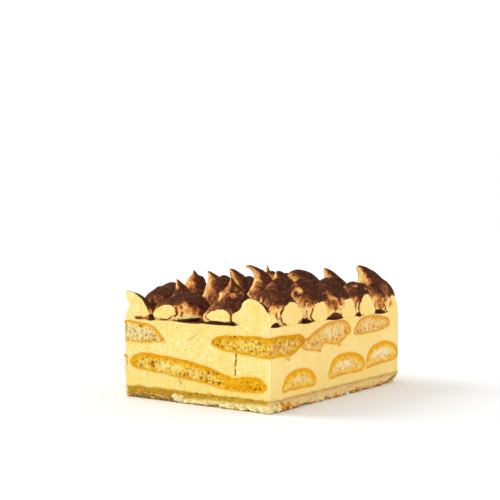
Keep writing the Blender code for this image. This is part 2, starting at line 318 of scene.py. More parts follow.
def ball(rings, sides, reach):
    """Points of a unit ball: rings up to this share of a right angle from its middle, and its two poles."""
    rise = np.linspace(-reach, reach, rings) * math.pi / 2
    turn = np.linspace(0, 2 * math.pi, sides, endpoint=False)
    points = np.stack([
        np.cos(rise)[:, None] * np.cos(turn), np.cos(rise)[:, None] * np.sin(turn),
        np.sin(rise)[:, None] * np.ones_like(turn)], axis=-1).reshape(-1, 3)
    return np.concatenate([points, [(0, 0, -1), (0, 0, 1)]])


def repeated(faces, corners, count):
    """The faces of this many lumps in one piece, each lump having this many corners."""
    return [[int(corner) + corners * which for corner in face] for which in range(count) for face in faces]


# Shader maths


SHEEN = 0.06  # specular level of these matt, moist foods


class Field:
    """A socket in a finish whose sums, products and comparisons add their own Math nodes."""

    def __init__(self, finish, socket):
        self.finish = finish
        self.socket = socket

    def math(self, operation, *values):
        """A Math node of these values."""
        return self.finish.add("ShaderNodeMath", {"operation": operation}, dict(enumerate(values)))

    def __add__(self, other):
        return self.math("ADD", self, other)

    def __sub__(self, other):
        return self.math("SUBTRACT", self, other)

    def __rsub__(self, other):
        return self.math("SUBTRACT", other, self)

    def __mul__(self, other):
        return self.math("MULTIPLY", self, other)

    def __truediv__(self, other):
        return self.math("DIVIDE", self, other)

    def __abs__(self):
        return self.math("ABSOLUTE", self)

    __radd__, __rmul__ = __add__, __mul__

    def root(self):
        """Its square root."""
        return self.math("SQRT", self)

    def most(self, *others):
        """The greatest of it and the others."""
        highest = self
        for other in others:
            highest = self.math("MAXIMUM", highest, other)
        return highest

    def least(self, other):
        """The lesser of it and the other."""
        return self.math("MINIMUM", self, other)

    def swing(self, reach):
        """A noise from 0 to 1 turned into one about 0, as far as half this reach each way."""
        return (self - 0.5) * reach

    def ease(self, low, high):
        """0 below low, 1 above high, smooth between; low may be the greater."""
        if low > high:
            return 1 - self.ease(high, low)
        settings = {"interpolation_type": "SMOOTHSTEP"}
        sockets = {"Value": self, "From Min": low, "From Max": high}
        return self.finish.add("ShaderNodeMapRange", settings, sockets)


class Finish:
    """The node tree of one material, in millimetres of Object coordinates.

    A colour is a Field, or three channels from 0 to 255 as they look on screen.
    """

    def __init__(self, name, roughness):
        self.material = bpy.data.materials.new(name)
        self.material.use_nodes = True
        self.tree = self.material.node_tree
        self.shader = self.tree.nodes["Principled BSDF"]
        self.shader.inputs["Roughness"].default_value = roughness
        self.shader.inputs["Specular IOR Level"].default_value = SHEEN
        place = self.add("ShaderNodeTexCoord", {}, {}, "Object")
        self.place = self.add("ShaderNodeVectorMath", {"operation": "SCALE"}, {0: place, "Scale": 1 / MM})
        split = self.tree.nodes.new("ShaderNodeSeparateXYZ")
        self.tree.links.new(self.place.socket, split.inputs[0])
        self.x, self.y, self.z = (Field(self, socket) for socket in split.outputs)

    def add(self, kind, settings, sockets, output=0):
        """Add a node of this type: its settings first, then the values or links of its sockets."""
        node = self.tree.nodes.new(kind)
        for setting, value in settings.items():
            if setting == "stops":
                self.set_stops(node.color_ramp, value)
            else:
                setattr(node, setting, value)
        for socket, value in sockets.items():
            entry = node.inputs[socket]
            if isinstance(value, Field):
                self.tree.links.new(value.socket, entry)
            else:
                entry.default_value = value
        return Field(self, node.outputs[output])

    @staticmethod
    def set_stops(ramp, stops):
        """Give a colour ramp these (position, colour) stops."""
        while len(ramp.elements) < len(stops):
            ramp.elements.new(0.5)
        for element, (position, colour) in zip(ramp.elements, stops):
            element.position = position
            element.color = (*srgb(*colour), 1.0)

    def noise(self, size, detail=2.0, stretch=(1, 1, 1), shift=0.0, roughness=0.5):
        """Noise from 0 to 1 with features of this size in millimetres, longer where stretch is above 1."""
        scale = tuple(1 / (size * factor) for factor in stretch)
        mapped = self.add("ShaderNodeMapping", {}, {
            "Vector": self.place, "Location": (shift, shift * 1.7, shift * 0.6), "Scale": scale,
        })
        settings = {"noise_dimensions": "3D"}
        sockets = {"Vector": mapped, "Scale": 1.0, "Detail": detail, "Roughness": roughness}
        return self.add("ShaderNodeTexNoise", settings, sockets)

    def cells(self, size, shift):
        """Voronoi cells of this size in millimetres: the distance to the nearest centre, in cell sizes."""
        mapped = self.add("ShaderNodeMapping", {}, {
            "Vector": self.place, "Location": (shift, shift, shift), "Scale": (1 / size,) * 3,
        })
        return self.add("ShaderNodeTexVoronoi", {}, {"Vector": mapped, "Scale": 1.0}, "Distance")

    def from_faces(self):
        """Millimetres inwards from the side faces, and from the front and back faces."""
        return HALF_WIDTH / MM - abs(self.x), HALF_DEPTH / MM - abs(self.y)

    def at_front(self):
        """1 on the front face, 0 from a millimetre behind it."""
        return self.y.ease(FRONT / MM + 1, FRONT / MM + 0.5)

    def front_spots(self, spots):
        """1 within soft-edged ovals of the front: x, z, half width and half height in millimetres."""
        wander = self.noise(0.9, 2, shift=48).swing(1.4)
        total = self.y * 0.0
        for x, z, half_width, half_height in spots:
            across, up = (self.x - x) / half_width, (self.z - z) / half_height
            total = (across * across + up * up + wander).ease(1.2, 0.6).most(total)
        return total * self.y.ease(-64, -65)

    def mark(self, name):
        """A value kept at the points of the piece."""
        return self.add("ShaderNodeAttribute", {"attribute_name": name}, {}, "Fac")

    def mix(self, factor, first, second):
        """The first colour where the factor is 0, the second where it is 1."""
        first, second = (
            colour if isinstance(colour, Field) else (*srgb(*colour), 1.0) for colour in (first, second))
        return self.add("ShaderNodeMix", {"data_type": "RGBA"}, {0: factor, 6: first, 7: second}, 2)

    def paint(self, colour, *layers):
        """Lay (mask, colour) layers over a colour, one after another."""
        for mask, layer in layers:
            colour = self.mix(mask, colour, layer)
        return colour

    def ramp(self, value, stops):
        """Colours along a value, from (position, colour) stops."""
        return self.add("ShaderNodeValToRGB", {"stops": stops}, {0: value})

    def finish(self, colour, height, distance, roughness=None):
        """Feed the shader with a colour, a bump of height times distance in millimetres, and a roughness."""
        bump = self.add("ShaderNodeBump", {}, {"Height": height, "Distance": distance * MM, "Strength": 1.0})
        entries = {"Base Color": colour, "Normal": bump}
        if roughness is not None:
            entries["Roughness"] = roughness
        for entry, field in entries.items():
            self.tree.links.new(field.socket, self.shader.inputs[entry])
        return self.material


def srgb(*channels):
    """Linear values of colour channels that are given as they look on screen, from 0 to 255."""
    shares = [channel / 255 for channel in channels]
    return tuple(
        share / 12.92 if share <= 0.04045 else ((share + 0.055) / 1.055) ** 2.4 for share in shares)


# Cream, with its dusting of cocoa


# Cream on the sides and on the front, each plain and where it is richer, and then its lightest tone. The side
# and front tones are painted light: the peach of the sides stands in for a warmer light falling on them.
SIDE_CREAM = ((253, 226, 147), (253, 217, 128))
FRONT_CREAM = ((243, 229, 152), (242, 220, 132))
PALE_CREAM = (255, 238, 176)

COCOA_STOPS = (
    (0.00, (252, 214, 126)),
    (0.10, (242, 182, 94)),
    (0.22, (222, 142, 68)),
    (0.36, (180, 106, 54)),
    (0.50, (134, 76, 42)),
    (0.68, (104, 58, 36)),
    (0.85, (82, 45, 29)),
    (1.00, (56, 31, 22)),
)

# Rings that the piping left in the cut cream of the front: x, z and radius in millimetres.
PIPED_RINGS = ((38.9, 51.2, 1.7), (-23.2, 47.4, 0.9), (16.6, 45.4, 0.5))

# Crumbs and stains of cocoa on the front, and holes in the sponge there, painted dark as their shade: x, z,
# half width and half height.
STAINS = (
    (-9.3, 23.9, 0.35, 0.40), (-11.2, 39.0, 0.32, 0.45), (-9.2, 11.6, 0.45, 0.9), (-8.4, 10.2, 0.6, 0.7),
    (-9.6, 13.0, 0.4, 0.3), (30.5, 21.0, 0.3, 0.3), (17.0, 25.0, 0.3, 0.25), (-33.0, 27.4, 0.25, 0.25),
)
SPONGE_HOLES = (
    (2.1, 6.4, 1.2, 0.5), (24.4, 6.4, 1.3, 0.5), (-28.4, 7.2, 0.8, 0.45), (-2.0, 5.2, 0.9, 0.4),
    (12.0, 5.6, 0.7, 0.35), (36.0, 6.0, 0.8, 0.35), (-19.0, 6.6, 0.7, 0.35),
)

# Slanting nicks in the front, sunk by the bump and painted darker as their shade: x, z, half length and half
# width in millimetres.
NICKS = ((0.2, 34.7, 3.4, 0.34), (-3.4, 33.0, 1.6, 0.26), (2.6, 33.4, 1.2, 0.24), (-22.0, 31.4, 1.0, 0.24))
NICK_RUN, NICK_RISE = 0.83, 0.56  # the way that they slant

STREAK_X = 26.2  # millimetres; where the knife drew cocoa down the front


def seam_level(finish):
    """Millimetres above the wavy seam where the cream has sunk into the sponge."""
    return finish.z - SPONGE_HIGH / MM + finish.noise(7, 2, stretch=(1, 1, 4), shift=91).swing(3.6)


def nick(finish, cloud, x, z, half_length, half_width):
    """A soft slanting stroke with its middle at (x, z)."""
    along = (finish.x - x) * NICK_RUN + (finish.z - z) * NICK_RISE
    across = (finish.z - z) * NICK_RUN - (finish.x - x) * NICK_RISE + cloud.swing(0.5)
    return abs(along).ease(half_length, half_length * 0.6) * abs(across).ease(half_width, half_width * 0.4)


def piped_ring(finish, cloud, x, z, radius):
    """A soft broken line at this radius round (x, z), a little flattened."""
    across, up = finish.x - x, (finish.z - z) * 1.3
    apart = (across * across + up * up).root() + cloud.swing(3.0)
    return abs(apart - radius).ease(1.0, 0.1) * (0.3 + cloud * 0.7)


def cocoa_streak(finish):
    """A broken line of cocoa that the knife drew down the front, leaning by 0.06 to the right as it rises."""
    lean = (finish.z - 17) * 0.06
    away = abs(finish.x - STREAK_X - lean + finish.noise(3.2, 1, shift=44).swing(1.2))
    reach = finish.z.ease(16.6, 17.4) * finish.z.ease(28.6, 28.0)
    breaks = finish.noise(0.9, 2, shift=50).ease(0.34, 0.46)
    return away.ease(0.62, 0.25) * reach * breaks * finish.at_front() * 0.9


def cocoa_cover(finish, uncut, grain, pitted):
    """How thickly cocoa covers the cream, from 0 to 1.

    It is the mark "dust" times grain where the cream is uncut. The smear mark adds what the knife dragged
    over the cut and a patch of painted shade on one belly, "beyond" the curled skin and spatter just off its
    edge, and "hollow" the cocoa that fills the gaps, painted dark also as their shade.
    """
    dust, beyond = finish.mark("dust"), finish.mark("beyond")
    patch = finish.noise(2.2, 3, shift=31, roughness=0.6)
    pull = finish.noise(0.8, 3, stretch=(1, 1, 3), shift=17)
    swirl = finish.noise(1.5, 3, stretch=(1.9, 1.9, 0.8), shift=23, roughness=0.6)
    gate = finish.noise(3.4, 2, shift=63)
    thin = dust.ease(0.02, 0.25) * dust.ease(1.0, 0.7)
    texture = grain.swing(1.7) + pitted.swing(1.3) + patch.swing(0.8)
    cover = dust * (0.90 + texture * (1.15 - dust * 0.35)) + thin * pull.swing(0.6)
    cover = cover - swirl.ease(0.52, 0.68) * dust * 0.24
    smeared = finish.mark("smear") * (0.55 + grain.swing(2.6) + patch.swing(1.6))
    off_cut = beyond.ease(0.1, 0.5)
    skin = abs(beyond - 0.9 + patch.swing(2.0)).ease(0.55, 0.15) * gate.ease(0.38, 0.50) * off_cut
    curl = abs(beyond - 2.9 + patch.swing(3.6)).ease(0.7, 0.2) * gate.ease(0.60, 0.48) * off_cut
    spatter = grain.ease(0.58, 0.70) * off_cut * beyond.ease(8.0, 5.0) * 0.6
    # the hollows: cocoa, darkened also as painted shade under the overhang
    hollow = (finish.mark("hollow") + grain.swing(0.35) + patch.swing(0.5)).ease(0.0, 0.14)
    return (cover * uncut).most(
        smeared, skin * (0.25 + grain * 0.9), curl * grain * 0.9, spatter, hollow * (0.70 + grain.swing(0.8)))


def make_cream_finish():
    """Knife-cut cream within half a millimetre of the block's upright faces, and cocoa over cream elsewhere.

    The cocoa's ramp runs from bare cream, through the orange-brown of a thin dusting, to dark cocoa. The mark
    "halo" is cream soaked by a finger.
    """
    finish = Finish("cream", 0.5)
    from_side, from_front = finish.from_faces()
    uncut = from_side.least(from_front).ease(0.50, 0.80)
    on_front = from_front.ease(1.0, 0.5)
    knife = on_front * finish.z.ease(CREAM_TOP / MM + 0.6, CREAM_TOP / MM - 1.5)
    near_top = finish.z.ease(33, 40) * knife
    drag = finish.noise(0.8, 3, stretch=(1, 1, 7))
    cloud = finish.noise(2.6, 4, shift=9, roughness=0.6)
    pitted = finish.noise(1.1, 3, shift=88, roughness=0.6)
    grain = finish.noise(0.55, 4, shift=3, roughness=0.78)
    golden = finish.noise(5.0, 3, stretch=(1, 1, 2.2), shift=71)
    rich_lines = drag.ease(0.50, 0.30) * (0.10 + 0.10 * knife)
    rich_clouds = cloud.ease(0.50, 0.36) * (0.10 + 0.34 * on_front)
    nicks = [nick(finish, cloud, *place) for place in NICKS]
    nicked = nicks[0].most(*nicks[1:])
    level = seam_level(finish) + cloud.swing(1.2)
    halo = (finish.mark("halo") + cloud.swing(0.5)).ease(0.15, 0.9)
    # painted light: the cream takes its peach side tone or its lemon front tone by face, for how the light
    # falls on each
    plain, rich = (finish.mix(on_front, side, front) for side, front in zip(SIDE_CREAM, FRONT_CREAM))
    body = finish.paint(
        plain,
        (finish.noise(13, 2).ease(0.35, 0.7), rich),
        (drag.ease(0.42, 0.72) * (0.16 + 0.14 * knife), PALE_CREAM),
        (rich_lines + rich_clouds, (248, 208, 104)),
        (cloud.ease(0.52, 0.66) * on_front * 0.6, PALE_CREAM),
        # painted shade mixed with tone: the front is darker golden in the dents that the pitted bump sinks
        (pitted.ease(0.50, 0.38) * on_front * 0.6, (240, 196, 84)),
        (golden.ease(0.50, 0.72) * on_front * 0.5, (244, 217, 104)),
        (drag.ease(0.56, 0.44) * near_top * 0.5, (250, 212, 112)),
        # painted shade: the nicks are darker where the bump sinks them
        (nicked * on_front * 0.7, (232, 190, 84)),
        *((piped_ring(finish, cloud, *place) * on_front * 0.8, (246, 198, 62)) for place in PIPED_RINGS),
        (finish.z.ease(24, 8) * 0.3, (238, 208, 110)),
        (level.ease(1.2, 0.2) * 0.4, (244, 200, 100)),
        (level.ease(0.35, -0.15) * 0.9, finish.mix(on_front, (236, 200, 132), (212, 170, 62))),
        (halo * 0.5, (240, 190, 98)),
        # painted highlight: paler cream along the upright corners, where a rounded edge would catch the light
        ((from_side + from_front).ease(1.3, 0.5) * 0.55, (255, 238, 180)),
        (finish.cells(8.5, shift=3).ease(0.055, 0.03) * 0.75, (132, 80, 36)),
        (finish.front_spots(STAINS) * 0.75, (150, 88, 30)),
        (cocoa_streak(finish), (112, 62, 30)))
    cover = cocoa_cover(finish, uncut, grain, pitted)
    colour = finish.mix(cover.ease(0.02, 0.14), body, finish.ramp(cover, COCOA_STOPS))
    powder = cover.ease(0.25, 0.8)
    cut_marks = drag * (1 - powder) * (0.25 + 0.2 * knife + 0.5 * near_top)
    height = (cut_marks + cloud * (0.5 + 2.2 * on_front) + pitted * 1.2 * on_front
              + grain * powder * 2.2 - nicked * 1.5)
    return finish.finish(colour, height, 0.22, 0.48 + powder * 0.44)


# Heights of everything seen from above, for the sifting of cocoa


class SkyMap:
    """The highest cream over each cell of a plan grid, and how much of the sky a point can see."""

    CELL = 0.6 * MM
    MARGIN = 4 * MM
    REACH = 22 * MM
    STEPS = 26

    def __init__(self, clouds):
        self.low = np.array([-HALF_WIDTH - self.MARGIN, -HALF_DEPTH - self.MARGIN])
        span = -2 * self.low
        self.shape = tuple(int(count) for count in np.ceil(span / self.CELL) + 1)
        self.height = np.full(self.shape, CREAM_TOP)
        for points in clouds:
            cell = self.cell_of(points)
            np.maximum.at(self.height, (cell[..., 0], cell[..., 1]), points[..., 2])

    def cell_of(self, points):
        """The cell that each point is over."""
        cell = np.rint((points[..., :2] - self.low) / self.CELL).astype(int)
        return np.clip(cell, 0, np.array(self.shape) - 1)

    def open_share(self, points):
        """The share of the sift's directions in which a march over the map meets nothing higher."""
        clear = np.zeros(points.shape[:-1])
        travel = (np.arange(1, self.STEPS + 1) / self.STEPS) ** 1.4 * self.REACH
        for direction in SIFT_DIRECTIONS:
            blocked = np.zeros(points.shape[:-1], dtype=bool)
            for distance in travel:
                here = points + np.array(direction) * distance
                cell = self.cell_of(here)
                blocked |= self.height[cell[..., 0], cell[..., 1]] > here[..., 2] + 0.5 * MM
            clear += ~blocked
        return clear / len(SIFT_DIRECTIONS)


SIFT_LEAN = (0.42, 0.20, 1.0)
SIFT_SPREAD = 0.22
SIFT_TURNS = 6


def sift_directions():
    """Directions the cocoa falls from: the first along the lean, the others on a cone round it."""
    axis = np.array(SIFT_LEAN) / np.linalg.norm(SIFT_LEAN)
    side = np.cross(axis, (0, 1, 0))
    side /= np.linalg.norm(side)
    other = np.cross(axis, side)
    turns = 2 * math.pi * np.arange(SIFT_TURNS) / SIFT_TURNS
    cone = [axis + SIFT_SPREAD * (math.cos(turn) * side + math.sin(turn) * other) for turn in turns]
    return [axis] + [direction / np.linalg.norm(direction) for direction in cone]


SIFT_DIRECTIONS = sift_directions()
# About these heights, the cocoa gives out on flanks near the side faces and the front face.
FLANK_TOP = 51.5 * MM
FRONT_FLANK_TOP = 47.0 * MM
SHELTERED = 0.24  # the share of the cocoa that lands where nothing falls straight
BARED = 0.92  # the share that a bare flank has lost
BRUSHED = 0.85  # the share that brushing takes
STEEPEST = 0.03  # how squarely cream has to face the sift before cocoa stays, and how much more for all of it
SETTLE_SPAN = 0.60
ABOVE_SKIN = 0.4 * MM  # where the march towards the sky starts
SHADED_TOP = 0.35  # the share that the flat top keeps in full shade

# Where the cream was brushed bare: x, y, z, reach and half height in millimetres, and how bare.
SCRAPES = (
    (39.5, -29.0, 57.5, 1.7, 1.8, 0.45),
    (41.0, -25.5, 57.0, 1.0, 3.2, 0.35),
    (40.0, -54.0, 60.0, 1.2, 3.0, 0.4),
    (13.5, -58.0, 60.0, 3.4, 4.8, 0.5),
    (22.0, -57.0, 58.5, 4.2, 3.2, 0.8),
    (19.5, -59.0, 56.5, 2.4, 2.2, 0.8),
    (25.0, -55.0, 56.5, 2.2, 1.8, 0.7),
    (-6.0, 10.0, 60.0, 6.0, 5.0, 0.8),
    (-21.5, -58.0, 62.0, 1.4, 2.6, 0.5),
    (37.0, 26.0, 60.5, 2.4, 1.6, 0.9),
    (44.5, 34.0, 57.0, 2.4, 1.8, 0.9),
    (41.0, 26.0, 58.5, 1.8, 1.6, 0.7),
    (43.5, -4.0, 51.5, 5.0, 3.0, 0.4),
    (13.0, -9.0, 59.0, 4.0, 3.0, 0.7),
    (31.0, 45.0, 63.0, 6.0, 8.0, 1.0),
    (38.0, 45.0, 58.0, 3.0, 8.0, 0.6),
    (42.0, 44.0, 52.0, 4.0, 6.0, 0.5),
    (44.0, 57.0, 56.0, 6.0, 5.0, 0.5),
    (-13.5, 15.0, 67.5, 3.4, 3.0, 0.85),
    (-41.0, -22.0, 60.0, 1.4, 6.0, 0.5),
    (-16.0, 34.0, 56.0, 3.2, 3.0, 0.6),
    (-42.0, 36.0, 58.0, 3.6, 3.0, 0.6),
    (-44.0, -14.0, 56.0, 3.4, 3.0, 0.5),
    (-8.0, 66.0, 58.0, 4.0, 3.0, 0.6),
    (20.0, 62.0, 54.0, 3.6, 3.0, 0.6),
)

# Cocoa that lies thick on flanks: x, y, z, reach and half height, and how thick.
CAKED = (
    (31.0, -28.0, 59.0, 5.0, 5.0, 0.8),
    (36.0, -20.0, 61.0, 6.0, 5.0, 0.8),
    (34.0, -59.0, 50.0, 5.5, 5.0, 0.9),
    (35.0, 1.0, 59.0, 9.0, 5.5, 0.9),
    (38.0, 29.0, 56.4, 6.0, 2.2, 0.9),
    (-16.0, -60.0, 56.0, 10.0, 4.0, 0.85),
    (16.0, -60.0, 52.0, 9.0, 2.4, 0.85),
    (-43.0, -51.0, 52.0, 9.0, 6.0, 0.9),
    (-36.0, -58.0, 49.0, 5.0, 5.0, 0.85),
    (34.0, -56.0, 59.0, 8.0, 7.0, 0.85),
    (40.0, -46.0, 60.0, 6.0, 5.0, 0.85),
    (27.0, -60.0, 51.0, 5.0, 5.0, 0.9),
    (-10.0, -64.0, 52.0, 4.5, 3.0, 0.5),
    (-20.0, -65.0, 50.0, 4.0, 2.0, 0.3),
)

# Cocoa caught in the gaps and dragged over the cut faces, and one patch of painted shade: x, y, z, reach and
# half height, and how dark.
SMEARS_AND_SHADE = (
    # painted shade on the underside of the belly of the third line's front peak
    (-7.0, -62.0, 48.0, 8.0, 4.0, 0.28),
    (-36.0, -66.5, 42.6, 4.6, 1.1, 0.9),
    (-31.8, -66.5, 43.6, 2.4, 1.6, 0.9),
    (47.5, -58.5, 45.6, 1.6, 2.2, 0.45),
    (47.0, -36.5, 48.5, 2.0, 5.0, 0.42),
    (46.5, -34.0, 46.0, 2.0, 3.0, 0.35),
    (45.5, -28.6, 47.5, 0.9, 3.4, 0.6),
    (44.5, -5.0, 49.5, 6.0, 4.6, 0.55),
    (45.5, 2.5, 48.0, 2.6, 4.0, 0.45),
    (46.0, 48.0, 49.0, 5.0, 5.0, 0.50),
    (45.0, 54.0, 53.0, 5.0, 5.0, 0.55),
    (46.5, 58.0, 46.5, 4.0, 3.0, 0.40),
    (-47.5, 12.0, 52.0, 3.0, 3.0, 0.5),
    (-10.0, 67.0, 51.0, 3.4, 3.0, 0.5),
)


def blots(points, spots, seed):
    """The most of: strength times a soft-edged ball round each spot, its edge broken up by noise."""
    ragged = 0.40 * rough(points * (1, 1, 0.4), 2.0 * MM, seed, 3)
    total = np.zeros(points.shape[:-1])
    for x, y, z, reach, half_height, strength in spots:
        offset = (points / MM - (x, y, z)) / (reach, reach, half_height)
        apart = np.linalg.norm(offset, axis=-1)
        total = np.maximum(total, strength * ease(apart + ragged, 1.1, 0.5))
    return total


def dust_on(points, normals, sky):
    """Cocoa from 0 to 1: how squarely the surface faces the sift, times the share of it that arrives."""
    facing = normals @ SIFT_DIRECTIONS[0]
    arrives = sky.open_share(points + normals * ABOVE_SKIN)
    uneven = 0.05 * rough(points, 4 * MM, 61, 2) + 0.07 * rough(points * (1, 1, 0.3), 1.6 * MM, 62, 2)
    settled = np.clip((facing + uneven - STEEPEST) / SETTLE_SPAN, 0, 1)
    from_side = HALF_WIDTH - np.abs(points[..., 0])
    from_front = HALF_DEPTH - np.abs(points[..., 1])
    near_cut = ease(np.minimum(from_side, from_front), 11 * MM, 5 * MM)
    ragged = 1.9 * MM * rough(points * (1, 1, 0.6), 2.2 * MM, 64, 3)
    top = FLANK_TOP + (FRONT_FLANK_TOP - FLANK_TOP) * ease(from_side - from_front, -2 * MM, 3 * MM)
    bare_flank = ease(points[..., 2] + ragged, top + 2.5 * MM, top - 3 * MM) * near_cut
    thin = (0.13 + 0.15 * rough(points, 2.4 * MM, 66, 3)) * ease(points[..., 2] + ragged, 50 * MM, 56 * MM)
    fallen = settled * (SHELTERED + (1 - SHELTERED) * arrives) * (1 - BARED * bare_flank)
    return np.maximum(fallen, thin) * (1 - BRUSHED * blots(points, SCRAPES, 71))


# Peaks


def peak_axis(peak, shares):
    """Sideways and upward travel and the turn along a bent axis: it turns by curl * share ** bend_power."""
    fine = np.linspace(0, 1, AXIS_STEPS + 1)
    turn = math.radians(peak.curl) * fine ** peak.bend_power
    step = peak.height / AXIS_STEPS
    middle = (turn[1:] + turn[:-1]) / 2
    side, rise = (np.concatenate([[0], np.cumsum(part(middle)) * step]) for part in (np.sin, np.cos))
    return [np.interp(shares, fine, values) for values in (side, rise, turn)]


def peak_bounds(peak):
    """Upright planes (nx, ny, offset) that hold a peak: the four cut faces, and one before each neighbour."""
    cuts = [(1, 0, HALF_WIDTH), (-1, 0, HALF_WIDTH), (0, 1, HALF_DEPTH), (0, -1, HALF_DEPTH)]
    presses = []
    others = [other for other in PEAKS if other is not peak] if peak in PEAKS else []
    for other in others:
        apart_x, apart_y = other.x - peak.x, other.y - peak.y
        apart = math.hypot(apart_x, apart_y)
        share = (apart ** 2 + peak.radius ** 2 - other.radius ** 2) / (2 * apart)
        nx, ny = apart_x / apart, apart_y / apart
        presses.append((nx, ny, nx * peak.x + ny * peak.y + share))
    return cuts, presses


def peak_radius(peak, index, shares, around):
    """The radius of a peak at each share of its height and each angle; the index sets its unevenness.

    It blends a dome, sqrt(1 - share ** 1.7), with a drawn-out nipple, half of 1 + cos(pi share) to the power
    0.9. With a spire, the nipple is instead the cube root of cap ** 3 + thin ** 3, a flat cap and a tip that
    thins evenly. A belly over a tucked foot, a swell and lobes round the axis multiply it.
    """
    dome = np.sqrt(1 - shares ** PEAK_DOME_POWER)
    nipple = (0.5 + 0.5 * np.cos(math.pi * shares)) ** PEAK_NIPPLE_POWER
    if peak.spire:
        cap = np.sqrt(np.maximum(1 - (shares / (1 - peak.spire)) ** SPIRE_CAP_POWER, 0))
        thin = SPIRE_WIDTH * (1 - shares) * ease(shares, 0.15, 1 - peak.spire)
        nipple = (cap ** 3 + thin ** 3) ** (1 / 3)
    radius = peak.radius * (dome + (nipple - dome) * peak.point)
    radius *= 1 + PEAK_BELLY * np.exp(-shares / PEAK_BELLY_HEIGHT)
    radius *= 1 - peak.tuck * np.exp(-shares / PEAK_FOOT_HEIGHT)
    radius = radius[:, None] * np.ones_like(around)
    toward_swell = np.cos(around - math.radians(peak.swell_heading))
    radius *= 1 + peak.swell * np.maximum(toward_swell, 0) ** PEAK_SWELL_POWER * (1 - shares[:, None])
    for waves, depth, offset in PEAK_LOBES:
        radius *= 1 + depth * np.sin(waves * around + offset * (index + 1))
    return radius


def held_back(peak, centre, direction, radius):
    """A radius that stops at the cut faces and, softly, before the neighbours."""
    cuts, presses = peak_bounds(peak)
    for nx, ny, offset in presses + cuts:
        facing = direction[..., 0] * nx + direction[..., 1] * ny
        room = offset - (centre[:, 0] * nx + centre[:, 1] * ny)
        limit = np.maximum(room[:, None], 1e-5) / np.maximum(facing, 1e-6)
        if (nx, ny, offset) in cuts:
            radius = np.minimum(radius, limit)
        else:
            least, most = np.minimum(radius, limit), np.maximum(radius, limit)
            softened = least - PEAK_PRESS_SOFTNESS * np.log1p(np.exp((least - most) / PEAK_PRESS_SOFTNESS))
            radius = np.maximum(softened, PEAK_LEAST_SHARE * least)
    return radius


def peak_grid(peak, index):
    """Rings of points up a peak round its bent axis, and its foot's middle and tip.

    The lowest ring is buried and drawn in.
    """
    shares = np.linspace(0, 1, PEAK_RINGS + 1)[:-1] ** RING_CROWDING
    side, rise, turn = peak_axis(peak, shares)
    heading = math.radians(peak.heading)
    toward = np.array([math.cos(heading), math.sin(heading)])
    reach = HALVES - PEAK_CUT_MARGIN
    centre = np.clip(np.array([peak.x, peak.y]) + side[:, None] * toward, -reach, reach)
    around = np.linspace(0, 2 * math.pi, PEAK_SIDES, endpoint=False)[None, :]
    radius = peak_radius(peak, index, shares, around)

    lean, level = np.cos(around - heading), np.sin(around - heading)
    tilt = turn[:, None]
    direction = np.stack([
        lean * np.cos(tilt) * toward[0] - level * toward[1],
        lean * np.cos(tilt) * toward[1] + level * toward[0],
        -lean * np.sin(tilt),
    ], axis=-1)
    spine = np.concatenate([centre, (CREAM_TOP + rise)[:, None]], axis=1)[:, None, :]
    free = spine + radius[..., None] * direction
    radius += peak_waves(free, index) * np.minimum(1, radius / PEAK_CALM_RADIUS)

    radius = held_back(peak, centre, direction, radius)
    grid = spine + radius[..., None] * direction
    grid[..., 2] = np.maximum(grid[..., 2], CREAM_TOP)
    buried = grid[0] * (1, 1, 0) + (0, 0, CREAM_TOP - PEAK_SINK)
    middle = np.clip([peak.x, peak.y], -reach, reach)
    foot = grid[0][:, :2]
    on_cut = np.abs(foot) > HALVES - TOUCH
    buried[:, :2] = np.where(on_cut, foot - np.sign(foot) * 0.03 * MM, middle + (foot - middle) * 0.9)
    grid = np.concatenate([buried[None], grid])
    tip_side, tip_rise, _ = peak_axis(peak, 1.0)
    tip = np.clip(np.array([peak.x, peak.y]) + tip_side * toward, -reach, reach)
    return grid, (*middle, CREAM_TOP - PEAK_SINK), (*tip, CREAM_TOP + tip_rise)


def peak_waves(points, index):
    """Uneven piping: slow waves, and finer ones that pull upwards."""
    slow = rough(points, 7 * MM, 40 + index, 2)
    fine = rough(points * (1, 1, 0.6), 1.8 * MM, 90 + index, 2)
    return SLOW_WAVE * slow + FINE_WAVE * fine


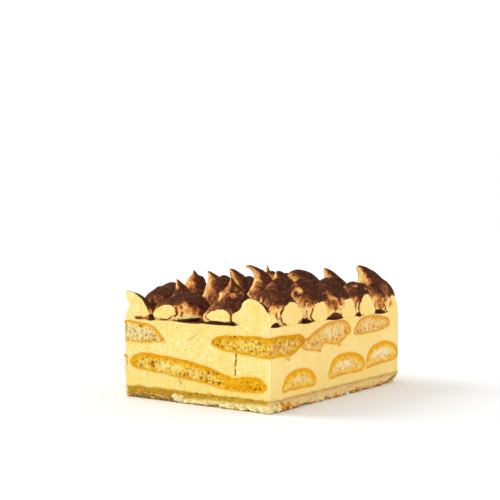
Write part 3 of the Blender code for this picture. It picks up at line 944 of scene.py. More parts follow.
# Where a peak was pushed out of shape: x, y, z and reach, then the push along X, Y and Z, in millimetres.
DENTS = (
    (42.0, 36.0, 57.5, 6.0, 0.5, 2.0, 1.6),
    (36.4, 25.0, 60.8, 2.6, 0.0, -0.5, 1.0),
    (45.0, 62.0, 56.0, 7.5, 1.5, 2.0, 1.6),
    (8.5, -30.8, 68.6, 6.0, -1.3, 0.0, 1.5),
    (-20.5, -34.0, 60.0, 6.5, -2.0, -0.6, 0.0),
    (11.5, -58.0, 58.0, 5.0, -1.5, -0.8, 0.0),
    (-45.0, -18.0, 59.5, 7.0, -3.4, -0.8, 0.0),
    (-35.5, -12.5, 62.5, 5.0, 1.4, 0.8, 1.8),
    (-38.0, -39.0, 59.0, 9.0, 0.0, 0.0, 2.2),
    (-44.0, -46.0, 57.0, 4.0, 0.0, 0.0, 1.4),
    (-33.0, -36.0, 58.0, 4.0, 0.0, 0.0, 1.2),
    (-7.5, 15.0, 64.0, 6.0, 1.0, -0.6, 2.2),
    (27.2, -67.0, 51.6, 4.6, 1.5, 0.0, -0.8),
    (24.8, -67.0, 46.6, 3.6, -1.2, 0.0, 0.0),
    (45.6, -67.0, 51.4, 3.6, 0.0, 0.0, -0.9),
    (36.0, -67.0, 55.6, 3.4, -0.8, 0.0, 0.4),
    (-48.5, -66.5, 49.0, 6.0, 3.2, 0.0, 0.0),
    (-47.0, -66.5, 56.5, 4.0, -1.4, 0.0, 0.6),
    (-8.0, -60.0, 51.0, 7.0, 0.0, -2.4, 0.8),
    (-6.0, -61.0, 44.5, 5.0, 0.0, 1.2, 0.0),
    (17.0, -60.0, 60.0, 3.5, 0.8, -1.0, 0.0),
    (13.0, -57.0, 56.5, 3.0, -0.8, -0.8, 0.0),
    (39.0, -30.0, 57.5, 3.0, -0.6, 1.2, 0.0),
    (44.5, -2.0, 56.5, 5.5, 1.6, -1.6, -0.6),
    (37.0, 26.5, 60.5, 3.0, 0.0, 1.0, -0.6),
    (43.5, 33.5, 58.0, 3.0, -1.0, 0.0, -0.6),
    (-45.0, 13.0, 60.0, 4.0, 1.2, 0.8, 0.0),
)


def dented(grid):
    """Move points by each dent's push, as a soft ball round its place, kept within the cut faces."""
    moved = np.zeros(grid.shape)
    for *place, reach, dx, dy, dz in DENTS:
        apart = np.linalg.norm(grid - np.array(place) * MM, axis=-1) / (reach * MM)
        moved += ease(apart, 1.0, 0.0)[..., None] * np.array([dx, dy, dz]) * MM
    moved[..., 2] *= grid[..., 2] > CREAM_TOP + 0.5 * MM
    bent = grid + moved
    bent[..., :2] = np.clip(bent[..., :2], -HALVES, HALVES)
    bent[..., 2] = np.where(grid[..., 2] > CREAM_TOP, np.maximum(bent[..., 2], CREAM_TOP), bent[..., 2])
    return bent


def place_on_face(points, face):
    """Millimetres along a face, up, and inwards from it."""
    along, outward = FACE_FRAMES[face]
    half = abs(outward @ HALVES)
    flat = points[..., :2]
    return flat @ along / MM, points[..., 2] / MM, (half - flat @ outward) / MM


def windows_of(peak, number):
    """The windows of a peak: those that are named, or one on each face that it reaches, from its own size."""
    if number in WINDOWS:
        return WINDOWS[number]
    windows = []
    for face in FACE_FRAMES:
        along, _, inward = place_on_face(np.array([peak.x, peak.y, 0.0]), face)
        radius = peak.radius / MM
        if inward < radius:
            half_width = 0.9 * math.sqrt(radius ** 2 - inward ** 2)
            high = (CREAM_TOP + 0.45 * peak.height) / MM
            windows.append(Window(face, float(along), half_width, CREAM_TOP / MM, high))
    return windows


def drawn_back(grid, windows):
    """Draw a peak's skin back from a cut face outside its window, and say how far off the cut it is.

    It starts as 0.7 e + 0.04 e ** 2, where e is how far it is outside: the lesser of w and h times
    (|a / w| ** p + |b / h| ** p) ** (1 / p) - 1, with a ragged edge. The exponential brings it to its limit.
    """
    grid = grid.copy()
    nearest = np.full(grid.shape[:-1], np.inf)
    for window in windows:
        along, up, inward = place_on_face(grid, window.face)
        outward = FACE_FRAMES[window.face][1]
        standing = window.low <= CREAM_TOP / MM
        centre = window.low if standing else (window.low + window.high) / 2
        half_height = window.high - centre
        rise = np.maximum(up - centre, 0) if standing else up - centre
        apart = (np.abs((along - window.middle) / window.half_width) ** window.power
                 + np.abs(rise / half_height) ** window.power) ** (1 / window.power)
        beyond = (apart - 1) * min(window.half_width, half_height) + 0.5 * rough(grid, 3.2 * MM, 83, 3)
        beyond = np.maximum(beyond, 0)
        least = DRAWN_MOST * (1 - np.exp(-(0.7 * beyond + 0.04 * beyond ** 2) / DRAWN_MOST))
        grid[..., :2] -= np.maximum(least - inward, 0)[..., None] * outward * MM
        nearest = np.minimum(nearest, beyond + np.maximum(inward - least, 0))
    return grid, nearest


def in_recess(points):
    """How far in a hollow points lie, 1 at its middle's foot and 0 on its edge, and its push; the hollow holds
    cocoa and painted shade.

    The edge is where |along / half_width| ** 2.2 + up / height is 1.
    """
    share = np.full(points.shape[:-1], -1.0)
    inwards = np.zeros(points.shape[:-1] + (2,))
    above = points[..., 2] > CREAM_TOP - TOUCH
    for recess in RECESSES:
        along, up, inward = place_on_face(points, recess.face)
        up = np.maximum(up - CREAM_TOP / MM, 0)
        arch = 1 - np.abs((along - recess.middle) / recess.half_width) ** 2.2 - up / recess.height
        arch = np.where(inward < RECESS_REACH, arch, -1)
        share = np.maximum(share, arch)
        push = np.maximum(RECESS_DEPTH * ease(arch, 0, 0.9) - inward, 0) * above
        inwards -= push[..., None] * FACE_FRAMES[recess.face][1]
    return share, inwards


def make_peaks(material):
    """Every peak, pressed against its neighbours, cut at the block's faces, and dusted."""
    shapes = []
    for index, peak in enumerate(PEAKS + DOLLOPS):
        grid, foot, tip = peak_grid(peak, index)
        grid, beyond = drawn_back(dented(grid), windows_of(peak, index + 1))
        shapes.append((grid, (foot, tip), np.minimum(beyond, FAR_FROM_CUT)))
    sky = SkyMap([grid for grid, _, _ in shapes])
    for index, (grid, ends, beyond) in enumerate(shapes):
        hollow, inwards = in_recess(grid)
        grid[..., :2] += inwards * MM
        dust = np.maximum(dust_on(grid, grid_normals(grid), sky), blots(grid, CAKED, 79))
        # cocoa smears, and painted shade on one belly
        smear = blots(grid, SMEARS_AND_SHADE, 75)
        named = index < len(PEAKS)
        name = f"piped_peak_{index + 1:02d}" if named else f"cream_dollop_{index - len(PEAKS) + 1}"
        nodes = [f"cream_peak_{index + 1:02d}"] if named else ()
        make_closed(name, grid + cut_relief(grid), ends, material, nodes, "cocoa_dusted_cream", 50,
                    dust=dust, smear=smear, hollow=hollow, beyond=beyond)
    return sky


# Cut faces of the cream


CUT_WAVE = 0.30 * MM
CUT_WAVE_LENGTH = 11 * MM
CUT_SET_BACK = 0.10 * MM
CUT_LIMITS = (-0.42 * MM, 0.35 * MM)
CUT_SKIN = 1.2 * MM  # points this near a face move with it


def cut_relief(points):
    """Push points on the block's upright faces in or out by the waviness that the knife leaves."""
    flat = points[..., :2]
    on_face = ease(HALVES - np.abs(flat), CUT_SKIN, 0)
    wave = CUT_WAVE * rough(points * (1, 1, 0.7), CUT_WAVE_LENGTH, 5, 3) - CUT_SET_BACK
    push = np.zeros(points.shape)
    push[..., :2] = np.sign(flat) * np.clip(wave, *CUT_LIMITS)[..., None] * on_face
    return push


def perimeter(step):
    """Points round the footprint, anticlockwise from the left front corner, and their outward normals."""
    across = max(int(round(2 * HALF_WIDTH / step)), 2)
    along = max(int(round(2 * HALF_DEPTH / step)), 2)
    corners = np.array([(-1, -1), (1, -1), (1, 1), (-1, 1)]) * HALVES
    faces = [outward for _, outward in FACE_FRAMES.values()]
    runs, normals = [], []
    for side, count in enumerate((across, along, across, along)):
        shares = np.arange(count)[:, None] / count
        runs.append(corners[side] + (corners[(side + 1) % 4] - corners[side]) * shares)
        normals.append(np.tile(faces[side], (count, 1)))
    return np.concatenate(runs), np.concatenate(normals)


# Sponge fingers


class Finger(NamedTuple):
    """A sponge finger that runs across, seen in section at the left and right cut faces."""

    name: str
    node: str
    outline: tuple  # (y, z) in millimetres, anticlockwise seen from the right
    holes: tuple  # (y, z, reach, how deep) in millimetres
    pale: tuple  # (y, z, reach, how pale) in millimetres


class FrontFinger(NamedTuple):
    """A sponge finger that the front cut lays open along its length."""

    name: str
    node: str
    top: tuple  # (x, z) in millimetres along the front face, left to right
    bottom: tuple
    back: tuple  # (y, share of the thickness) in millimetres from the front face, bottom to top
    holes: tuple
    pale: tuple


FINGERS = (
    Finger("finger_low_1", "finger_lower_1", (
        (-56.2, 9.4), (-50.0, 9.7), (-40.0, 9.5), (-28.0, 9.4), (-25.6, 11.2), (-26.2, 14.2), (-30.5, 17.6),
        (-37.2, 19.2), (-44.8, 19.3), (-51.3, 17.6), (-55.2, 13.6)),
        ((-37.0, 15.4, 0.8, 0.7), (-35.4, 14.0, 0.6, 0.7), (-47.0, 12.0, 0.6, 0.5)),
        ((-40.0, 12.6, 6.0, 0.6),)),
    Finger("finger_low_2", "finger_lower_2", (
        (-12.2, 11.1), (0.5, 11.5), (11.5, 11.5), (21.8, 11.4), (25.4, 12.7), (26.3, 15.4), (22.9, 19.2),
        (16.0, 21.9), (7.0, 22.9), (-1.7, 22.5), (-8.6, 20.3), (-12.0, 16.2)),
        ((8.4, 19.4, 0.9, 0.9), (17.0, 14.6, 0.8, 0.6), (-6.0, 15.0, 0.6, 0.6), (13.0, 16.4, 0.7, 0.6)),
        ((4.0, 16.4, 9.0, 0.9),)),
    Finger("finger_low_3", "finger_lower_3", (
        (28.4, 12.2), (34.7, 12.6), (47.0, 13.3), (61.0, 13.8), (65.6, 15.4), (66.4, 18.0), (64.6, 21.3),
        (59.7, 23.8), (49.5, 25.6), (40.8, 25.0), (32.3, 21.9), (28.6, 17.0)),
        ((56.0, 16.4, 0.8, 0.6), (40.0, 15.6, 0.8, 0.6), (46.0, 15.4, 0.7, 0.5)),
        ((46.0, 18.6, 11.0, 1.0),)),
    Finger("finger_high_2", "finger_upper_2", (
        (-38.0, 29.3), (-30.0, 27.6), (-22.5, 27.0), (-17.0, 30.0), (-9.0, 29.0), (-1.0, 29.2), (6.0, 32.4),
        (10.3, 34.3), (8.6, 38.0), (3.4, 40.6), (-5.0, 41.2), (-13.0, 40.4), (-20.5, 39.0), (-27.0, 36.8),
        (-33.0, 34.0), (-37.6, 34.0), (-38.8, 31.8)),
        ((5.4, 34.8, 1.6, 1.0), (-8.0, 32.0, 1.0, 0.7), (-2.0, 33.0, 0.8, 0.6), (-24.0, 31.0, 1.1, 0.7),
         (-28.0, 30.6, 0.9, 0.7), (-37.0, 32.2, 1.0, 0.8), (-17.0, 31.8, 0.8, 0.5), (-4.0, 31.0, 1.0, 0.7)),
        ((-13.5, 36.5, 5.0, 1.0), (-4.0, 37.4, 5.0, 0.7), (1.0, 36.4, 3.0, 0.6))),
    Finger("finger_high_3", "finger_upper_3", (
        (14.4, 32.3), (22.9, 31.9), (34.7, 32.0), (46.9, 32.6), (54.6, 34.2), (55.8, 36.4), (53.2, 38.8),
        (42.0, 40.9), (32.3, 41.4), (22.8, 40.4), (17.1, 37.0), (14.2, 34.0)),
        ((18.6, 33.6, 1.2, 0.8), (27.0, 34.4, 0.9, 0.6), (37.0, 35.0, 1.0, 0.7), (44.0, 36.2, 0.8, 0.5),
         (31.0, 34.2, 0.8, 0.6)),
        ((30.0, 37.4, 6.0, 0.7), (41.0, 37.6, 5.0, 0.6))),
)

FRONT_FINGERS = (
    FrontFinger(
        "finger_low_front", "finger_lower_front",
        ((-43.9, 18.8), (-42.8, 21.2), (-40.5, 22.9), (-36.0, 24.1), (-31.2, 24.4), (-19.9, 23.8),
         (-5.2, 22.4), (8.9, 20.1), (19.2, 17.3), (24.5, 16.0), (28.5, 16.3), (33.0, 17.2), (39.1, 17.3),
         (43.2, 15.8), (45.2, 13.2)),
        ((-43.9, 18.4), (-42.0, 16.6), (-39.0, 15.7), (-31.2, 14.9), (-19.9, 14.3), (-5.2, 12.8), (8.9, 11.4),
         (17.9, 9.9), (26.0, 9.3), (35.9, 9.5), (43.0, 10.3), (45.2, 12.4)),
        ((0.0, 0.0), (6.5, 0.06), (8.8, 0.28), (9.4, 0.5), (8.4, 0.75), (5.0, 0.93), (0.0, 1.0)),
        ((-28.3, 19.2, 1.7, 1.0), (-27.8, 17.8, 1.1, 0.9), (-35.1, 20.4, 0.8, 0.7), (-36.5, 16.6, 0.8, 0.7),
         (-9.1, 15.0, 0.9, 0.9), (-6.1, 14.8, 0.9, 0.8), (4.7, 13.8, 0.8, 0.9), (8.3, 13.0, 0.8, 0.9),
         (12.4, 12.7, 0.8, 0.9), (15.9, 12.4, 1.0, 1.0), (9.1, 17.0, 1.2, 1.0), (15.3, 17.2, 0.7, 0.8),
         (-1.8, 20.2, 0.7, 0.7), (36.0, 12.4, 0.7, 0.6), (38.6, 11.6, 0.8, 0.8), (41.4, 11.8, 0.8, 0.7),
         (34.0, 14.6, 0.6, 0.6), (39.6, 13.6, 0.6, 0.6), (30.0, 12.0, 0.6, 0.6)),
        ((-21.0, 17.6, 6.0, 0.9), (-12.0, 17.0, 5.0, 0.9), (-34.0, 18.4, 3.0, 0.5), (0.0, 15.4, 5.0, 0.6),
         (11.0, 14.4, 4.0, 0.4))),
    FrontFinger(
        "finger_high_front", "finger_upper_front",
        ((11.5, 32.8), (12.3, 34.3), (14.5, 35.6), (22.6, 36.9), (35.9, 37.1), (47.5, 36.8)),
        ((11.5, 32.2), (12.6, 31.0), (19.3, 29.0), (29.3, 27.9), (39.1, 27.2), (47.5, 26.9)),
        ((0.0, 0.0), (8.0, 0.03), (12.0, 0.02), (14.2, -0.10), (16.4, -0.06), (22.5, 0.13), (27.0, 0.36),
         (30.6, 0.66), (30.0, 0.86), (25.0, 1.02), (17.8, 1.02), (8.8, 1.06), (0.0, 1.0)),
        ((15.4, 31.6, 0.9, 0.8), (18.4, 30.8, 0.9, 0.8), (16.6, 33.2, 0.8, 0.8), (21.4, 33.4, 0.8, 0.7),
         (33.0, 34.0, 0.9, 0.8), (37.0, 34.6, 0.8, 0.8), (40.6, 33.8, 0.9, 0.8), (32.0, 31.0, 0.8, 0.6),
         (41.0, 29.6, 0.9, 0.7), (36.4, 29.6, 0.8, 0.6), (26.0, 30.2, 0.8, 0.6)),
        ((31.0, 32.4, 4.0, 0.6), (38.0, 32.0, 4.0, 0.6), (24.0, 32.0, 3.0, 0.3))),
    FrontFinger(
        "finger_high_left", "finger_upper_left",
        ((-47.5, 41.2), (-38.1, 40.6), (-32.7, 39.9), (-27.4, 38.6), (-23.6, 35.8), (-20.6, 33.0),
         (-19.7, 31.9)),
        ((-47.5, 30.0), (-42.9, 30.0), (-36.0, 29.8), (-31.2, 30.0), (-24.0, 30.6), (-20.6, 31.2),
         (-19.7, 31.8)),
        ((0.0, 0.0), (12.0, 0.02), (17.0, 0.12), (19.6, 0.4), (18.6, 0.72), (12.0, 0.96), (0.0, 1.0)),
        ((-36.6, 38.2, 1.1, 0.8), (-40.0, 35.4, 0.8, 0.6), (-33.0, 33.4, 0.8, 0.6), (-29.0, 34.6, 0.9, 0.6),
         (-27.0, 31.4, 0.9, 0.8), (-35.0, 36.2, 0.7, 0.6)),
        ((-38.0, 35.0, 5.0, 1.0), (-44.0, 35.6, 4.0, 0.9), (-31.0, 35.4, 3.5, 0.7))),
)

# What the front finger that reaches the right face shows there, in (y, z): holes, then pale crumb.
CORNER_HOLES = (
    (-61.0, 30.4, 1.0, 0.8), (-58.0, 33.6, 1.1, 0.8), (-44.6, 31.7, 1.5, 0.8), (-42.4, 34.0, 1.0, 0.7),
    (-52.0, 29.0, 1.2, 0.6), (-38.4, 33.0, 1.0, 0.9), (-47.6, 34.6, 0.8, 0.6),
)
CORNER_PALE = ((-47.0, 32.4, 4.0, 0.6), (-55.0, 31.8, 3.5, 0.6), (-64.0, 31.6, 4.0, 0.3))

FINGER_AROUND = 240
FINGER_CAP_RINGS = 30
FINGER_FRONT_SHARE = 0.26  # share of a front finger's sides that lie on the front face
FINGER_LOOSE_END = 9 * MM  # the length over which a baked end closes
FRONT_FINGER_STEP = 0.36 * MM
PAST_CORNER = 6 * MM  # outlines reach this far past a face that has cut the finger, so it has no crust there
OUTLINE_WANDER = 0.28 * MM
CRUST_TOP, CRUST_UNDER = 0.74, 0.9  # what depth counts for over the whole crust, and how much more under it
HOLLOW_DEPTH, PORE_DEPTH, TOOTH_DEPTH, HOLE_DEPTH = 0.30, 0.10, 0.06, 1.0  # millimetres


def smooth_loop(points, count):
    """Points evenly spaced along a closed Catmull-Rom curve through these."""
    points = np.array(points, dtype=float)
    dense = np.linspace(0, len(points), 40 * len(points), endpoint=False)
    low = np.floor(dense).astype(int)
    share = (dense - low)[:, None]
    before, start, end, after = (points[(low + offset) % len(points)] for offset in (-1, 0, 1, 2))
    curve = 0.5 * (2 * start + (end - before) * share
                   + (2 * before - 5 * start + 4 * end - after) * share ** 2
                   + (3 * start - before - 3 * end + after) * share ** 3)
    closed = np.concatenate([curve, curve[:1]])
    length = np.concatenate([[0], np.cumsum(np.linalg.norm(np.diff(closed, axis=0), axis=1))])
    places = np.linspace(0, length[-1], count, endpoint=False)
    return np.stack([np.interp(places, length, closed[:, axis]) for axis in range(2)], axis=1)


def smooth_line(points, places):
    """Heights at these places on a smoothed line through (place, height) points."""
    points = np.array(points, dtype=float)
    heights = np.interp(places, points[:, 0], points[:, 1])
    before, after = (np.interp(places + offset, points[:, 0], points[:, 1]) for offset in (-0.9, 0.9))
    return 0.5 * heights + 0.25 * (before + after)


def distance_to_loop(points, loop):
    """Distance from each (.., 2) point to a closed loop's nearest edge, negative outside it."""
    start = loop
    end = np.roll(loop, -1, axis=0)
    run = end - start
    flat = points.reshape(-1, 2)
    nearest = np.full(len(flat), np.inf)
    inside = np.zeros(len(flat), dtype=bool)
    for first, second, edge in zip(start, end, run):
        offset = flat - first
        share = np.clip(offset @ edge / max(edge @ edge, 1e-12), 0, 1)
        nearest = np.minimum(nearest, np.linalg.norm(offset - share[:, None] * edge, axis=1))
        crosses = (first[1] > flat[:, 1]) != (second[1] > flat[:, 1])
        height = edge[1] if abs(edge[1]) > 1e-12 else 1e-12
        inside ^= crosses & (flat[:, 0] < first[0] + edge[0] * (flat[:, 1] - first[1]) / height)
    return (nearest * np.where(inside, 1, -1)).reshape(points.shape[:-1])


def wander(points, seed):
    """A small push outwards or inwards for an outline that the baking left uneven."""
    return OUTLINE_WANDER * rough(points, 4.0 * MM, seed, 3)


def spots_on(flat, spots):
    """The most of: strength times a soft ball round each (along, up, reach, strength) spot of a cut face."""
    total = np.zeros(flat.shape[:-1])
    for along, up, reach, strength in spots:
        apart = np.linalg.norm(flat - np.array([along, up]) * MM, axis=-1) / (reach * MM)
        total = np.maximum(total, strength * ease(apart, 1.15, 0.35))
    return total


def open_crumb(points, flat, depth, holes, pale, seed):
    """What a cut lays bare: how far each point is sunk, and its marks for pores, painted dark as their shade,
    and for pale crumb.

    Torn hollows of 2 mm, pores of 1 mm and a fine tooth deepen away from the crust, and the named holes are
    sunk deepest.
    """
    open_share = ease(depth, 0.4 * MM, 1.8 * MM)
    hollow = ease(rough(points, 2.0 * MM, seed, 2), 0.1, 0.7)
    pore = ease(ripple(points, 1.0 * MM, seed + 7), 0.28, 0.75) * (0.25 + 0.75 * open_share)
    tooth = rough(points, 0.8 * MM, seed + 11, 2)
    ragged = 0.3 * MM * rough(points, 1.1 * MM, seed + 5, 2)
    named = spots_on(flat + ragged[..., None], holes)
    light = spots_on(flat + 4 * ragged[..., None], pale)
    sink = open_share * (HOLLOW_DEPTH * hollow + PORE_DEPTH * pore)
    sink = sink + TOOTH_DEPTH * tooth * (0.5 + open_share) + HOLE_DEPTH * named
    return sink * MM, np.maximum(0.35 * pore, named), light


def crust_depth(flat, loop, low, high):
    """Depth below the crust, counted as more near the underside, where the crust is thin."""
    depth = np.maximum(distance_to_loop(flat, loop), 0)
    rise = (flat[..., 1] - low) / np.maximum(high - low, 1e-6)
    return depth * (CRUST_TOP + CRUST_UNDER * ease(rise, 0.38, 0.12))


def make_through_finger(finger, material, seed):
    """A finger that runs from cut face to cut face: crust round its sides, open crumb on both ends."""
    loop = smooth_loop(np.array(finger.outline) * MM, FINGER_AROUND)
    centre = loop.mean(axis=0)
    shares = np.linspace(0.02, 1, FINGER_CAP_RINGS)
    stations = np.linspace(-HALF_WIDTH, HALF_WIDTH, 40)
    beyond = np.full(FINGER_CAP_RINGS, HALF_WIDTH + FINGER_PROUD)
    x = np.concatenate([-beyond, stations, beyond])
    share = np.concatenate([shares, np.ones(len(stations)), shares[::-1]])
    grid = np.zeros((len(x), FINGER_AROUND, 3))
    grid[..., 0] = x[:, None]
    grid[..., 1:] = centre + (loop - centre) * share[:, None, None]
    sides = slice(FINGER_CAP_RINGS, -FINGER_CAP_RINGS)
    push = wander(grid[sides], seed)
    outward = (loop - centre) / np.linalg.norm(loop - centre, axis=1, keepdims=True)
    grid[sides, :, 1:] += push[..., None] * outward
    for rings, edge in ((slice(0, FINGER_CAP_RINGS), 0), (slice(-FINGER_CAP_RINGS, None), -1)):
        grid[rings, :, 1:] += (push[edge, :, None] * outward) * share[rings, None, None]
    on_cap = np.ones(grid.shape[:2], dtype=bool)
    on_cap[sides] = False

    low, high = loop[:, 1].min(), loop[:, 1].max()
    depth = np.where(on_cap, crust_depth(grid[..., 1:], loop, low, high), 0)
    sink, pore, light = open_crumb(grid, grid[..., 1:], depth, finger.holes, finger.pale, seed)
    grid[..., 0] -= np.where(on_cap, np.sign(grid[..., 0]) * sink, 0)
    face = np.concatenate([np.sign(grid[..., :1]) * HALF_WIDTH, grid[..., 1:]], axis=-1)
    grid[..., 0] += np.where(on_cap, cut_relief(face)[..., 0], 0)
    ends = [(grid[0, :, 0].mean(), *centre), (grid[-1, :, 0].mean(), *centre)]
    under = ease((grid[..., 2] - low) / (high - low), 0.5, 0.2)
    make_closed(finger.name, grid, ends, material, [finger.node], "biscuit", 65,
                depth=depth / MM, pore=on_cap * pore, pale=on_cap * light, under=on_cap * under)


def section_of(finger):
    """The section of a front finger: depth and share of the thickness, up its back and down its front."""
    back = np.array(finger.back, dtype=float)
    run = np.concatenate([[0], np.cumsum(np.hypot(np.diff(back[:, 0]), 9 * np.diff(back[:, 1])))])
    places = np.linspace(0, run[-1], int(FINGER_AROUND * (1 - FINGER_FRONT_SHARE)) + 1)[1:-1]
    front_count = FINGER_AROUND - len(places)
    depth = np.concatenate([np.interp(places, run, back[:, 0]) * MM, np.zeros(front_count)])
    share = np.concatenate([np.interp(places, run, back[:, 1]), np.linspace(1, 0, front_count)])
    return depth, share, len(places)


def make_front_finger(finger, material, seed):
    """A finger laid open by the front cut: a loft along X whose front side is flat, open crumb.

    At each station the front runs from bottom(x) to top(x), and the back follows the back profile, drawn in
    towards the ends. Where an end reaches a cut face it is a flat cap, and elsewhere it closes to a point.
    """
    left, right = finger.top[0][0] * MM, finger.top[-1][0] * MM
    stations = np.linspace(left, right, int((right - left) / FRONT_FINGER_STEP))
    top, bottom = (smooth_line(line, stations / MM) * MM for line in (finger.top, finger.bottom))
    spine = np.stack([stations, np.zeros_like(stations), top], axis=1)
    tapered = np.minimum((top - bottom) / (3 * MM), 1)
    top = top + wander(spine, seed) * tapered
    bottom = bottom + wander(spine, seed + 2) * tapered
    open_left = left <= -HALF_WIDTH + TOUCH
    open_right = right >= HALF_WIDTH - TOUCH
    reach_left = 1.0 if open_left else np.clip((stations - left) / FINGER_LOOSE_END, 0, 1)
    reach_right = 1.0 if open_right else np.clip((right - stations) / FINGER_LOOSE_END, 0, 1)
    drawn = np.sqrt(1 - (1 - np.minimum(reach_left, reach_right)) ** 2) * np.ones_like(stations)

    depth_y, share, back_count = section_of(finger)
    grid = np.zeros((len(stations), FINGER_AROUND, 3))
    grid[..., 0] = stations[:, None]
    grid[..., 1] = FRONT + depth_y * drawn[:, None]
    grid[..., 2] = bottom[:, None] + (top - bottom)[:, None] * share
    on_front = np.zeros(grid.shape[:2], dtype=bool)
    on_front[:, back_count:] = True

    front_loop = np.concatenate([
        np.stack([stations, bottom], axis=1), np.stack([stations[::-1], top[::-1]], axis=1)])[::3]
    past_right = open_right & (front_loop[:, 0] > right - 0.5 * MM)
    past_left = open_left & (front_loop[:, 0] < left + 0.5 * MM)
    front_loop[:, 0] += PAST_CORNER * past_right - PAST_CORNER * past_left
    flat = grid[..., ::2]
    depth = np.where(on_front, crust_depth(flat, front_loop, bottom[:, None], top[:, None]), 0)
    sink, pore, light = open_crumb(grid, flat, depth, finger.holes, finger.pale, seed)
    face = np.stack([np.clip(grid[..., 0], -HALF_WIDTH + 2 * MM, HALF_WIDTH - 2 * MM),
                     np.full(grid.shape[:2], FRONT), grid[..., 2]], axis=-1)
    grid[..., 1] += np.where(on_front, sink - FINGER_PROUD + cut_relief(face)[..., 1], 0)
    rise = (grid[..., 2] - bottom[:, None]) / np.maximum(top - bottom, 1e-6)[:, None]
    marks = {"depth": depth / MM, "pore": on_front * pore, "pale": on_front * light,
             "under": on_front * ease(rise, 0.5, 0.2)}
    grid, marks, ends = cap_ends(grid, marks, (open_left, open_right), seed)
    make_closed(finger.name, grid, ends, material, [finger.node], "biscuit", 65, **marks)


def joined(grid, cap, outward):
    """A grid with the rings of a cap after it, or with outward -1 before it and turned round."""
    return np.concatenate([grid, cap] if outward > 0 else [cap[::-1], grid])


def cap_ends(grid, marks, open_ends, seed):
    """Close a front finger: a flat cap of open crumb at a cut end, and a point at a baked one.

    On a cap the front face doesn't count as crust, because the front cut has bared it.
    """
    ends = []
    for which, is_open in enumerate(open_ends):
        edge = grid[-which]
        middle = edge.mean(axis=0)
        if not is_open:
            ends.append(tuple(middle))
            continue
        shares = np.linspace(1, 0.02, FINGER_CAP_RINGS)[:, None, None]
        rings = middle + (edge - middle) * shares
        loop = edge[:, 1:][::3].copy()
        loop[loop[:, 0] < FRONT + 1.5 * MM, 0] -= PAST_CORNER
        depth = crust_depth(rings[..., 1:], loop, edge[:, 2].min(), edge[:, 2].max())
        sink, pore, light = open_crumb(rings, rings[..., 1:], depth, CORNER_HOLES, CORNER_PALE, seed + 3)
        outward = -1 if which == 0 else 1
        face = np.stack([np.full(rings.shape[:2], outward * HALF_WIDTH),
                         np.maximum(rings[..., 1], FRONT + 2 * MM), rings[..., 2]], axis=-1)
        rings[..., 0] = middle[0] + outward * (FINGER_PROUD - sink) + cut_relief(face)[..., 0]
        rise = (rings[..., 2] - edge[:, 2].min()) / np.ptp(edge[:, 2])
        caps = {"depth": depth / MM, "pore": pore, "pale": light, "under": ease(rise, 0.5, 0.2)}
        grid = joined(grid, rings, outward)
        marks = {mark: joined(marks[mark], caps[mark], outward) for mark in marks}
        ends.append((float(rings[-1, :, 0].mean()), *middle[1:]))
    return grid, marks, ends


ALONG_STOPS = (
    (0.00, (222, 144, 12)),
    (0.13, (232, 162, 10)),
    (0.27, (240, 178, 12)),
    (0.36, (244, 190, 22)),
    (0.56, (250, 206, 44)),
    (1.00, (254, 216, 70)),
)
ACROSS_STOPS = (
    (0.00, (238, 160, 34)),
    (0.05, (240, 166, 14)),
    (0.18, (246, 184, 28)),
    (0.30, (252, 202, 72)),
    (0.44, (255, 218, 116)),
    (1.00, (255, 230, 138)),
)
PALE_STOPS = (
    (0.00, (220, 148, 34)),
    (0.14, (232, 164, 42)),
    (0.26, (248, 204, 88)),
    (0.40, (252, 222, 122)),
    (1.00, (253, 228, 138)),
)
SOAKED_STOPS = (
    (0.00, (214, 148, 66)),
    (0.06, (230, 158, 58)),
    (0.17, (242, 176, 62)),
    (0.32, (255, 198, 86)),
    (0.60, (255, 208, 110)),
    (1.00, (255, 218, 128)),
)


class Bake(NamedTuple):
    """How a finger's crumb looks, by depth below the crust."""

    name: str
    stops: tuple  # colours by the share of full_depth
    full_depth: float  # millimetres below the crust where the crumb is palest
    # the colour of the painted shade in the pores and of the fine shading, and of darker mottles
    pore: tuple
    pale: tuple
    pores: float  # how strong the painted shade of the pores is
    crumb: tuple  # the shares of full_depth over which the crust gives way to crumb
    mottled: float
    under: tuple  # the colour of the underside, whose crust is ragged
    grazed_from: float | None = None  # the x in millimetres past which the cut has only grazed the crust
    soaked_face: bool = False  # whether the crumb on the right face is soaked brown


BAKES = (
    Bake("biscuit_cut_across", ACROSS_STOPS, 7.4, (224, 146, 32), (255, 250, 212), 0.35, (0.26, 0.48),
         0.55, (228, 152, 44)),
    Bake("biscuit_soaked", SOAKED_STOPS, 5.0, (212, 138, 34), (255, 240, 182), 0.5, (0.20, 0.42),
         0.75, (222, 156, 66)),
    Bake("biscuit_pale", PALE_STOPS, 4.4, (170, 106, 20), (255, 246, 184), 0.9, (0.16, 0.40),
         0.5, (230, 164, 44)),
    Bake("biscuit_corner", ALONG_STOPS, 4.4, (166, 88, 12), (255, 240, 142), 0.8, (0.30, 0.55),
         0.4, (230, 164, 22), soaked_face=True),
    Bake("biscuit_grazed", ALONG_STOPS, 4.4, (166, 88, 12), (255, 240, 150), 0.75, (0.30, 0.55),
         0.4, (234, 166, 16), grazed_from=21),
)


